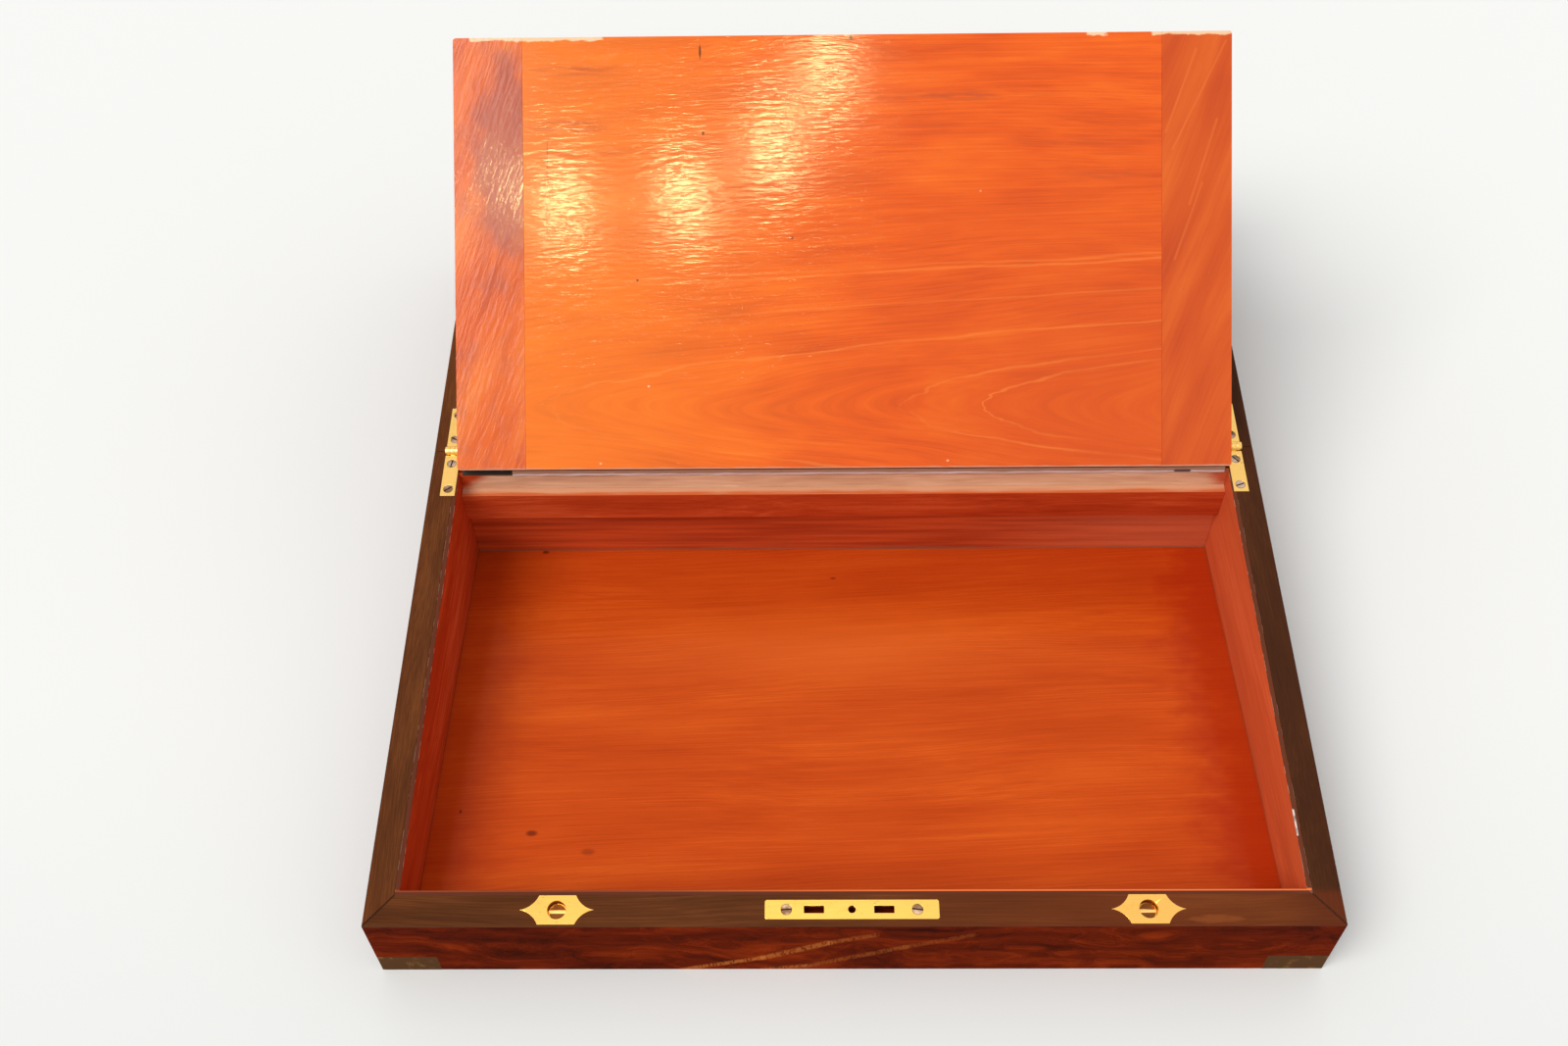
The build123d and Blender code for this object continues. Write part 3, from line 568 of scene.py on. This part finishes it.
def lining_marks(finish, point, colour):
    """Painted light on the right lining, a darker foot, and stained chipped tops with a painted edge
    highlight.
    """
    x, y, z = finish.axes(finish.place())
    # painted light and sheen: the right lining is lighter, as the light falls on it from the left
    colour = finish.mix(finish.span(x, 170.0, 186.0), colour, tint(236, 130, 80), 0.34)
    foot = finish.times(finish.noise(point, (30, 3, 3), detail=3.0), 3.0, z)
    colour = finish.mix(finish.span(foot, 16.5, 13.6), colour, tint(110, 50, 34), 0.5)
    height = finish.axes(rim_place(finish))[2]
    top = finish.span(height, -0.55, -0.40)
    colour = finish.mix(top, colour, tint(84, 46, 30), 0.92)
    # pale chips along the top arris, with a painted highlight along that edge
    arris = finish.times(finish.span(height, -0.50, -0.36), finish.span(height, -0.17, -0.24))
    chips = finish.noise(point, (5, 5, 5), detail=3.0, shift=12)
    chips_and_edge_highlight = finish.times(arris, finish.span(chips, 0.48, 0.60))
    colour = finish.mix(chips_and_edge_highlight, colour, tint(226, 196, 168), 0.8)
    splinter = finish.stroke(finish.place(), (186.6, -186.4, 48.0), (186.5, -197.0, 46.6), 1.5)
    splinter = finish.times(splinter, finish.span(chips, 0.35, 0.5))
    colour = finish.mix(splinter, colour, tint(246, 236, 226), 0.8)
    worn = finish.times(finish.span(y, -220.9, -220.6), finish.span(y, -219.6, -219.9))
    worn = finish.times(worn, top)
    worn = finish.times(worn, finish.span(x, -110.0, 40.0, 0.2, 1.0))
    return finish.mix(worn, colour, tint(244, 120, 60), 0.9)


def ledge_marks(finish, point, colour):
    """The ledge's top is painted pale as a painted reflection, and orange along its front edge."""
    height = finish.axes(rim_place(finish))[2]
    y = finish.axes(finish.place())[1]
    patchy = finish.times(finish.noise(point, (26, 1.6, 2), detail=3.0, shift=14), 4.0, y)
    # painted reflection: the ledge's top is pale, orange along its front edge
    painted_reflection_top = finish.mix(finish.span(patchy, -13.2, -15.8), tint(226, 174, 136), tint(216, 112, 62))
    return finish.mix(finish.span(height, ledge_top - 0.45, ledge_top - 0.15), colour, painted_reflection_top, 0.85)


# %% Finish the floors and the linings
floor_tones = (tint(174, 57, 12), tint(202, 77, 20), tint(224, 99, 28))
lining_tones = (tint(156, 46, 18), tint(188, 68, 30), tint(216, 98, 54))
along_y = lie(0.0, pi / 2)
floor_grain = lie(0.0, radians(2.5))

floor_wood = wood("floor_wood", *floor_tones, turn=floor_grain, streak=0.8, drift=22, contrast=0.72,
                  coat=0.12, marks=floor_marks)
lining_wood = dict(streak=1.0, drift=24, contrast=0.85, coat=0.15)
long_lining = wood("long_lining_wood", *lining_tones, marks=lining_marks, **lining_wood)
short_lining = wood("short_lining_wood", *lining_tones, turn=along_y, marks=lining_marks, **lining_wood)
ledge_wood = wood("ledge_wood", *lining_tones, marks=ledge_marks, **lining_wood)
inner_wood = wood("inner_wood", *lining_tones, **lining_wood)
dress(floor_wood, "lid_top_board", "base_bottom_board")
dress(long_lining, "lid_free_lining")
dress(short_lining, "lid_left_lining", "lid_right_lining")
dress(ledge_wood, "lid_hinge_ledge")
dress(inner_wood, "lid_free_ledge", "base_hinge_ledge", "flap_bearer", "pen_tray")
linings = (long_lining, short_lining, ledge_wood, inner_wood)
print("lining woods:", [finish.material.name for finish in linings])


# %% Finish the wall under the hinge and its painted reflection
def beyond_the_reflection(finish, point, colour):
    """Stained wood at both ends, behind a slanting edge, and under the ledge, where the painted reflection
    stops.
    """
    x, _, z = finish.axes(point)
    ragged = finish.noise(point, (9, 3, 3), detail=2.0)
    reach = finish.times(z, 1.1, finish.calc("ABSOLUTE", x))
    reach = finish.times(ragged, 8.0, reach)
    unreflected = finish.calc("MAXIMUM", finish.span(reach, 250.0, 260.0), finish.span(z, 60.0, 59.0))
    greyed_top = finish.times(finish.noise(point, (14, 3, 1.2), detail=3.0, shift=9), 2.6, z)
    colour = finish.mix(finish.span(greyed_top, 70.6, 71.4), colour, tint(150, 104, 78), 0.7)
    grain = finish.noise(point, (90, 3.5, 3.5), detail=3.0, shift=4)
    stained = finish.mix(finish.span(grain, 0.25, 0.75), tint(162, 48, 14), tint(208, 80, 30))
    hazy = finish.times(grain, 30.0, finish.times(x, 0.5))
    stained = finish.mix(finish.span(hazy, 40.0, 110.0), stained, tint(222, 124, 84), 0.5)
    darker_foot = finish.times(finish.noise(point, (16, 3, 3), detail=3.0, shift=2), 5.0, z)
    stained = finish.mix(finish.span(darker_foot, 17.0, 14.6), stained, tint(140, 96, 70), 0.6)
    return finish.mix(unreflected, colour, stained, 0.97)


# the wall's pale tones are a painted reflection, over the stained wood that shows at its ends
painted_reflection_tones = (tint(206, 156, 122), tint(228, 182, 146), tint(246, 208, 174))
painted_reflection_wall = wood("rubbed_wall_wood", *painted_reflection_tones, streak=0.8, drift=9, pores=0.15, coat=0.03,
                   marks=beyond_the_reflection)
dress(painted_reflection_wall, "lid_hinge_lining")
print("rubbed wall:", len(painted_reflection_wall.tree.nodes), "nodes")

# %% [markdown]
# ## Rims and outside
#
# The rims are banded with a darker wood, laid with its grain along each strip and mitred at the
# corners of the free end. The outside is veneered with flame mahogany: black wisps and orange
# patches that lick along the panel. A wisp is a streak whose place is pushed up and down by a
# slower noise, so it bends as a flame does.

# %% Finish the rims and the outside
band_tones = (tint(63, 32, 13), tint(94, 50, 22), tint(123, 69, 32))
flame_tones = (tint(46, 9, 2), tint(98, 26, 3), tint(140, 46, 8))
half_depth = 235


def band_marks(finish, point, colour):
    """Dirty mitres, painted shade on the right rim, a redder near rim, and an orange patch by the right
    fitting.
    """
    place = finish.place()
    x, y, _ = finish.axes(place)
    # painted shade: the right rim is darker, as the light falls from the left
    colour = finish.mix(finish.span(x, 170.0, 192.0), colour, tint(50, 26, 16), 0.6)
    red = finish.times(finish.span(x, -40.0, 120.0), finish.span(y, -219.0, -223.0))
    colour = finish.mix(red, colour, tint(126, 52, 22), 0.35)
    for side in (-1, 1):
        mitre = finish.stroke(place, (188.4 * side, -222.1, 43.4), (200 * side, -half_depth, 41.6), 1.3)
        colour = finish.mix(mitre, colour, tint(34, 18, 12), 0.7)
    torn = finish.noise(place, (6, 1.6, 4), detail=3.0, shift=2)
    patch = finish.spot(place, (148, -232.5, 42), (24, 4.0, 20), core=0.0)
    patch = finish.times(torn, 0.9, patch)
    return finish.mix(finish.span(patch, 0.85, 1.35), colour, tint(142, 74, 34), 0.6)


def flames(finish, point):
    """Bends the grain of the veneer in slow licks."""
    lick = finish.times(finish.noise(point, (46, 30, 30), detail=2.0, shift=4), 34.0)
    return finish.vector("ADD", point, finish.join(0.0, lick, lick))


def sapwood(finish, point, colour):
    """Two pale streaks of sapwood that climb the front of the lid to the right, in three steps each."""
    across = finish.noise(point, (0.8, 7, 2.5), detail=1.0)
    for (x0, z0), (x1, z1), width, strength in (
        ((-71.5, 0.0), (-37.0, 11.3), 4.6, 0.5),
        ((-37.0, 11.3), (-9.7, 25.4), 6.0, 0.42),
        ((-9.7, 25.4), (9.5, 32.7), 5.0, 0.24),
        ((-37.3, 0.0), (-18.0, 3.5), 4.6, 0.4),
        ((-18.0, 3.5), (22.5, 21.6), 5.0, 0.2),
        ((22.5, 21.6), (49.6, 32.6), 5.0, 0.12),
    ):
        stroke = finish.stroke(point, (x0, -half_depth, z0), (x1, -half_depth, z1), width)
        stroke = finish.times(stroke, finish.span(across, 0.3, 0.6, 0.15, 1.0))
        colour = finish.mix(stroke, colour, tint(214, 124, 56), strength)
    return colour


band = dict(streak=0.7, drift=14, coat=0.12, contrast=0.8, pores=0.3, marks=band_marks)
flame = dict(figure=flames, streak=3.4, drift=12, contrast=0.95, coat=0.04)
long_band = wood("long_band_wood", *band_tones, **band)
short_band = wood("short_band_wood", *band_tones, turn=along_y, **band)
long_veneer = wood("long_veneer_wood", *flame_tones, marks=sapwood, **flame)
short_veneer = wood("short_veneer_wood", *flame_tones, turn=along_y, **flame)
dress(long_band, "lid_free_banding", "base_lock_banding")
dress(short_band, "lid_left_banding", "lid_right_banding", "base_left_banding", "base_right_banding")
dress(long_veneer, "lid_free_wall", "lid_hinge_wall", "base_lock_wall", "base_hinge_wall", "lid_top_veneer")
dress(short_veneer, "lid_left_wall", "lid_right_wall", "base_left_wall", "base_right_wall")
print("woods:", sum(name.endswith("wood") for name in bpy.data.materials.keys()))

# %% [markdown]
# ## The cloth hinge
#
# The flap has no brass hinge. A narrow strip of pale cloth, glued to its square end and to the edge
# of the wall, lets it swing, and it is torn away at the left. It is a thin mesh: a short profile
# swept along the hinge, a little uneven, and given a thickness.

# %% Make the cloth hinge
cloth_start = -160.0
cloth_end = 184.0
cloth_steps = 170
cloth_profile = (
    (-13.3, 70.42), (-14.1, 70.55), (-14.75, 71.3), (-14.85, 72.4), (-14.5, 73.5), (-14.25, 74.1),
)
cloth_thickness = 0.3


def ripple_of(step):
    """A slight, uneven pucker along the cloth, in millimetres."""
    return 0.10 * sin(step * 0.9) + 0.07 * sin(step * 0.37 + 1.0)


cloth_mesh = bmesh.new()
rows = []
for step in range(cloth_steps + 1):
    x = cloth_start + (cloth_end - cloth_start) * step / cloth_steps
    row = []
    for number, (y, z) in enumerate(cloth_profile):
        free = 1.0 if 0 < number < len(cloth_profile) - 1 else 0.0
        row.append(cloth_mesh.verts.new(Vector((x, y - free * ripple_of(step + number), z)) * mm))
    rows.append(row)
for left, right in zip(rows, rows[1:]):
    for low in range(len(cloth_profile) - 1):
        cloth_mesh.faces.new((left[low], right[low], right[low + 1], left[low + 1]))
thickened = bpy.data.meshes.new("cloth_hinge")
cloth_mesh.to_mesh(thickened)
cloth_mesh.free()
cloth_hinge = bpy.data.objects.new("cloth_hinge", thickened)
bpy.context.scene.collection.objects.link(cloth_hinge)
thicken = cloth_hinge.modifiers.new("thickness", "SOLIDIFY")
thicken.thickness = cloth_thickness * mm
thicken.offset = 1.0
made = cloth_hinge.evaluated_get(bpy.context.evaluated_depsgraph_get())
cloth_hinge.data = bpy.data.meshes.new_from_object(made)
cloth_hinge.modifiers.clear()
print("cloth hinge:", len(cloth_hinge.data.polygons), "faces")

# %% [markdown]
# The cloth is dirty by the wall, painted in shade by the flap, and clean along the fold between them.
# Its threads are two sine waves multiplied, one along the hinge and one up the strip.

# %% Finish the cloth hinge
thread_angle = 16.0  # radians of each wave in a millimetre

cloth = Finish("hinge_cloth", Roughness=0.9, Specular_IOR_Level=0.1)
weave_place = cloth.place()
x, _, z = cloth.axes(weave_place)
warp = cloth.calc("SINE", cloth.times(x, thread_angle))
weft = cloth.calc("SINE", cloth.times(z, thread_angle))
threads = cloth.times(warp, weft)
grime = cloth.noise(weave_place, (22, 3, 0.8), detail=3.0, roughness=0.6)
height = cloth.times(grime, 2.0, z)
# from the dirty edge by the wall, through clean cloth, to painted shade by the flap
tone = cloth.ramp(cloth.span(height, 71.2, 75.4), (0.0, tint(160, 124, 100)), (0.3, tint(246, 232, 232)),
                  (0.5, tint(226, 204, 202)), (0.7, tint(176, 136, 112)), (1.0, tint(190, 146, 116)))
tone = cloth.mix(cloth.span(grime, 0.62, 0.75), tone, tint(120, 92, 76), 0.6)
# painted shade in a split of the cloth near its right end
split_shade = cloth.stroke(weave_place, (160.5, -14.8, 72.2), (167.0, -14.8, 72.2), 2.6)
cloth.paint(cloth.mix(split_shade, tone, tint(56, 38, 30), 0.9))
cloth.bump(threads, 0.04)
cloth_hinge.data.materials.append(cloth.material)
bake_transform(cloth_hinge)
print("cloth finish:", len(cloth.tree.nodes), "nodes")

# %% [markdown]
# ## Slotted screws
#
# Six wood screws hold the lid's catch plate and hinge leaves, six hold the lock and the leaves of
# the base, and two more stand deep in the sockets. Each is the same turned head with a slot sawn
# across, and only its place, its size and the angle at which the driver left its slot differ. That
# is what Geometry Nodes are for: one tree makes the head, sets a copy on every point and turns it
# by the point's own angle. The points are the tops of the drawn heads, so each copy stands exactly
# in its hole.


# %% Find the drawn screws
def solids_of(name):
    """The corner points of each separate solid of a CAD node."""
    drawn = bmesh.new()
    drawn.from_mesh(nodes[name].data)
    bmesh.ops.remove_doubles(drawn, verts=drawn.verts, dist=0.001 * mm)
    # a dict keeps the order of the corners, so each run adds them up in the same order
    left = dict.fromkeys(drawn.verts)
    solids = []
    while left:
        waiting = [left.popitem()[0]]
        solid = []
        while waiting:
            corner = waiting.pop()
            solid.append(corner.co.copy())
            for edge in corner.link_edges:
                other = edge.other_vert(corner)
                if other in left:
                    del left[other]
                    waiting.append(other)
        solids.append(solid)
    drawn.free()
    return solids


rim_normal = Matrix.Rotation(rim_slope, 3, "X") @ Vector((0, 0, 1))


def screw_tops(name):
    """The middle of each screw's head, on its upper face."""
    tops = []
    for solid in solids_of(name):
        height = max(corner.dot(rim_normal) for corner in solid)
        face = [corner for corner in solid if corner.dot(rim_normal) > height - 0.02 * mm]
        tops.append(sum(face, Vector()) / len(face))
    return sorted(tops, key=lambda top: (round(top.x, 4), top.y))


print("catch screws at:", [[round(side / mm, 1) for side in top] for top in screw_tops("catch_screws")])

# %% [markdown]
# The head is a squat cone whose top is a hair narrower than its foot, so that a fine dark ring
# shows round it in the plate. The slot is a box taken out by a boolean, longer than the head is
# wide. Everything that may differ is a named input of the tree.


# %% Build the screw tree
def add_input(tree, name, kind, value=None):
    socket = tree.interface.new_socket(name, in_out="INPUT", socket_type="NodeSocket" + kind)
    if value is not None:
        socket.default_value = value


def screw_tree():
    """Sets a slotted screw head on every point, turned by the point's own angle."""
    tree = bpy.data.node_groups.new("slotted_screws", "GeometryNodeTree")
    add_input(tree, "Points", "Geometry")
    add_input(tree, "Head Radius", "Float", 2.3 * mm)
    add_input(tree, "Head Depth", "Float", 1.5 * mm)
    add_input(tree, "Head Ease", "Float", 0.12 * mm)
    add_input(tree, "Slot Width", "Float", 0.65 * mm)
    add_input(tree, "Slot Depth", "Float", 0.9 * mm)
    add_input(tree, "Lean", "Float", rim_slope)
    add_input(tree, "Finish", "Material")
    tree.interface.new_socket("Screws", in_out="OUTPUT", socket_type="NodeSocketGeometry")
    given = tree.nodes.new("NodeGroupInput").outputs
    made = tree.nodes.new("NodeGroupOutput")

    def node(kind, inputs, **settings):
        new = tree.nodes.new(kind)
        for setting, value in settings.items():
            setattr(new, setting, value)
        for socket, value in inputs.items():
            if isinstance(value, bpy.types.NodeSocket):
                tree.links.new(value, new.inputs[socket])
            else:
                new.inputs[socket].default_value = value
        return new

    def calc(operation, a, b):
        return node("ShaderNodeMath", {0: a, 1: b}, operation=operation).outputs[0]

    def vector(**axes):
        return node("ShaderNodeCombineXYZ", axes).outputs[0]

    head = node("GeometryNodeMeshCone", {
        "Vertices": 48, "Radius Top": calc("SUBTRACT", given["Head Radius"], given["Head Ease"]),
        "Radius Bottom": given["Head Radius"], "Depth": given["Head Depth"]}).outputs["Mesh"]
    sunk = vector(Z=calc("MULTIPLY", given["Head Depth"], -1.0))
    head = node("GeometryNodeTransform", {"Geometry": head, "Translation": sunk}).outputs[0]
    saw = vector(X=calc("MULTIPLY", given["Head Radius"], 3.0), Y=given["Slot Width"],
                 Z=calc("MULTIPLY", given["Slot Depth"], 2.0))
    slot = node("GeometryNodeMeshCube", {"Size": saw}).outputs["Mesh"]
    cut = node("GeometryNodeMeshBoolean", {0: head, 1: slot}, operation="DIFFERENCE").outputs["Mesh"]
    angle = node("GeometryNodeInputNamedAttribute", {"Name": "turn"}, data_type="FLOAT").outputs[0]
    turned = node("FunctionNodeAxisAngleToRotation", {"Axis": (0, 0, 1), "Angle": angle}).outputs[0]
    leant = node("FunctionNodeAxisAngleToRotation", {"Axis": (1, 0, 0), "Angle": given["Lean"]}).outputs[0]
    turned = node("FunctionNodeRotateRotation", {0: turned, 1: leant}, rotation_space="GLOBAL").outputs[0]
    placed = node("GeometryNodeInstanceOnPoints", {
        "Points": given["Points"], "Instance": cut, "Rotation": turned}).outputs[0]
    solid = node("GeometryNodeRealizeInstances", {0: placed}).outputs[0]
    solid = node("GeometryNodeSetMaterial", {"Geometry": solid, "Material": given["Finish"]}).outputs[0]
    tree.links.new(solid, made.inputs[0])
    return tree


screws = screw_tree()
print("screw tree:", len(screws.nodes), "nodes")

# %% [markdown]
# ## Brass and steel
#
# The plates are polished brass, brushed from side to side and speckled where lacquer has worn
# off. The corner pieces have gone a flat olive brown, a little brighter in patches. A metal's
# colour lives in its reflection, so its two colours are those of clean and of tarnished metal,
# mixed by a cloud, and the tarnish is rougher too.


# %% Finish the metal
def metal(name, clean, tarnished, roughness, wear):
    """A metal with fine scratches and a cloud of tarnish, which spreads as wear grows."""
    finish = Finish(name, Metallic=1.0)
    point = finish.place()
    cloud = finish.noise(point, (9, 9, 9), detail=4.0, roughness=0.65)
    scratches = finish.noise(point, (7, 0.25, 7), detail=2.0, shift=3.0)
    specks = finish.span(finish.noise(point, (2.2, 0.7, 1.2), detail=3.0, shift=6.0), 0.66, 0.76)
    tarnish = finish.span(cloud, 0.72 - wear, 0.92 - wear)
    colour = finish.mix(tarnish, clean, tarnished)
    colour = finish.mix(finish.span(scratches, 0.3, 0.7), colour, tarnished, 0.22)
    finish.paint(finish.mix(specks, colour, tint(120, 66, 30), 0.6))
    rough = finish.span(tarnish, 0.0, 1.0, roughness, roughness + 0.25)
    finish.feed(finish.shader.inputs["Roughness"], rough)
    finish.bump(scratches, 0.004)
    return finish


def dirty_slots(finish):
    """Everything deeper than a third of a millimetre under the rim is dark with old polish."""
    height = finish.axes(rim_place(finish))[2]
    clean = finish.shader.inputs["Base Color"].links[0].from_socket
    finish.paint(finish.mix(finish.span(height, -0.25, -0.45), clean, tint(58, 38, 28), 0.9))


plate_brass = metal("plate_brass", tint(247, 193, 101), tint(226, 152, 72), 0.28, 0.12)
hinge_brass = metal("hinge_brass", tint(250, 204, 116), tint(230, 168, 86), 0.28, 0.10)
corner_brass = metal("corner_brass", tint(150, 104, 54), tint(96, 62, 30), 0.5, 0.45)
screw_steel = metal("screw_steel", tint(206, 178, 158), tint(128, 98, 78), 0.34, 0.3)
dirty_slots(screw_steel)
dress(plate_brass, "catch_plate", "locating_sockets", "locating_studs", "lock_case", "lock_bolt")
dress(plate_brass, "keyhole_escutcheon", "ink_caps")
dress(hinge_brass, "lid_hinge_leaves", "base_hinge_leaves")
dress(corner_brass, "lid_corners", "base_corners")
dress(screw_steel, "hinge_pins")
print("metals:", [finish.material.name for finish in (plate_brass, hinge_brass, corner_brass, screw_steel)])

# %% [markdown]
# The screws in the sockets are brown with age, and only their slots have been kept bright by
# drivers. Both slots lie nearly on one line along the near rim, so one band of clean metal along
# that line finishes both.

# %% Finish the socket screws
fitting_station = 230.3

socket_steel = Finish("socket_steel", Metallic=1.0, Roughness=0.4)
fitting = rim_place(socket_steel)
along = socket_steel.calc("ADD", socket_steel.axes(fitting)[1], fitting_station)
slot_here = socket_steel.span(socket_steel.calc("ABSOLUTE", along), 0.62, 0.80, 1.0, 0.0)
rust = socket_steel.noise(fitting, (2.0, 2.0, 2.0), detail=3.0)
brown = socket_steel.mix(rust, tint(84, 44, 20), tint(132, 82, 44))
socket_steel.paint(socket_steel.mix(slot_here, brown, tint(250, 200, 128)))
socket_steel.bump(rust, 0.03)
print("socket screws:", len(socket_steel.tree.nodes), "nodes")


# %% Set the screws
def set_screws(name, body, turns, finish=screw_steel, **sizes):
    """One mesh of screws in place of the CAD nodes that turns names, each with its slots' angles."""
    places = []
    angles = []
    for node, degrees in turns.items():
        places += screw_tops(node)
        angles += [radians(angle) for angle in degrees]
    mesh = bpy.data.meshes.new(name)
    mesh.from_pydata(places, [], [])
    mesh.attributes.new("turn", "FLOAT", "POINT").data.foreach_set("value", angles)
    thing = bpy.data.objects.new(name, mesh)
    bpy.context.scene.collection.objects.link(thing)
    modifier = thing.modifiers.new("screws", "NODES")
    modifier.node_group = screws
    settings = {size.replace("_", " "): value for size, value in sizes.items()}
    settings["Finish"] = finish.material
    for socket in screws.interface.items_tree:
        if socket.name in settings:
            modifier[socket.identifier] = settings[socket.name]
    evaluated = thing.evaluated_get(bpy.context.evaluated_depsgraph_get())
    thing.data = bpy.data.meshes.new_from_object(evaluated)
    thing.modifiers.clear()
    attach(thing, body)
    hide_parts(*turns)
    print(name, "screws:", len(places), "faces:", len(thing.data.polygons))


set_screws("lid_screws", "lid", {"catch_screws": [4, -7], "lid_leaf_screws": [35, 80, 20, -50]})
set_screws("socket_screw_heads", "lid", {"socket_screws": [0, 2]}, socket_steel,
           Head_Radius=3.4 * mm, Slot_Width=1.4 * mm, Slot_Depth=0.5 * mm)
set_screws("base_screws", "base", {"lock_screws": [12, 70], "base_leaf_screws": [-30, 15, 60, 100]})

# %% [markdown]
# ## Leather, baize and glass
#
# The writing surface is dark green skiver, a thin sheepskin with a fine pebble, rubbed paler where
# hands rest on it. Green baize keeps the underside from scratching the table, and the ink bottles
# are plain glass.

# %% Finish the leather, the baize and the glass
skiver = Finish("writing_leather", Roughness=0.5, Specular_IOR_Level=0.35)
hide = skiver.place()
pebble = skiver.noise(hide, (1.1, 1.1, 1.1), detail=3.0)
worn = skiver.noise(hide, (60, 40, 40), detail=4.0, roughness=0.6)
skin_tone = skiver.mix(worn, tint(26, 46, 36), tint(66, 92, 66))
scuffs = skiver.noise(hide, (24, 1.2, 1.2), detail=2.0, shift=4)
skin_tone = skiver.mix(skiver.span(scuffs, 0.64, 0.72), skin_tone, tint(112, 124, 92), 0.4)
skin_tone = skiver.mix(skiver.span(pebble, 0.3, 0.7), skin_tone, tint(20, 34, 28), 0.25)
# painted shade on the flap's leather at the left end, where the cloth hinge is torn away
torn_end_shade = skiver.spot(hide, (-173, -14, 71.5), (16, 5, 5), core=0.8)
skiver.paint(skiver.mix(torn_end_shade, skin_tone, tint(44, 28, 20), 0.9))
skiver.bump(pebble, 0.06)
dress(skiver, "near_flap_leather", "far_leather", "lid_strip_leather")

baize = Finish("green_baize", Roughness=0.95, Specular_IOR_Level=0.1, Sheen_Weight=0.4)
nap = baize.noise(baize.place(), (0.6, 0.6, 0.6), detail=3.0)
matted = baize.noise(baize.place(), (30, 30, 30), detail=3.0, shift=2)
cloth_tone = baize.mix(nap, tint(28, 66, 40), tint(58, 108, 66))
baize.paint(baize.mix(matted, cloth_tone, tint(36, 74, 50), 0.5))
baize.bump(nap, 0.2)
dress(baize, "base_baize")

glass = Finish("bottle_glass", Transmission_Weight=0.9, Roughness=0.05, IOR=1.5)
ripples = glass.noise(glass.place(), (12, 12, 12), detail=1.0)
glass.paint(glass.mix(ripples, (0.80, 0.90, 0.86, 1), (0.88, 0.95, 0.92, 1)))
glass.bump(ripples, 0.3)
dress(glass, "ink_bottles")
print("last finishes:", [finish.material.name for finish in (skiver, baize, glass)])

# %% [markdown]
# ## Worn edges
#
# Nothing that hands have used for a century has a sharp edge. A Bevel modifier rounds the edges of
# all but the screws, pins and bottles a little, without touching the drawn mesh: a Weld before it
# joins the loose triangles, and an angle limit keeps the flat faces and the round ones as they are.

# %% Ease the edges
wood_ease = 0.25 * mm
brass_ease = 0.10 * mm
cap_ease = 1.2 * mm
sharpest_kept = radians(35)
left_sharp = ("screws", "pins", "bottles")
brass = ("plate", "sockets", "studs", "leaves", "case", "bolt", "escutcheon", "corners")


def ease_of(name):
    """How far the edges of a CAD node are rounded, by what it is made of."""
    if name.endswith(brass):
        return brass_ease
    return cap_ease if name == "ink_caps" else wood_ease


for name, node in nodes.items():
    if name.endswith(left_sharp):
        continue
    weld = node.modifiers.new("join the facets", "WELD")
    weld.merge_threshold = 0.01 * mm
    bevel = node.modifiers.new("ease the edges", "BEVEL")
    bevel.width = ease_of(name)
    bevel.segments = 2
    bevel.limit_method = "ANGLE"
    bevel.angle_limit = sharpest_kept
print("eased:", sum(len(node.modifiers) == 2 for node in nodes.values()), "nodes")
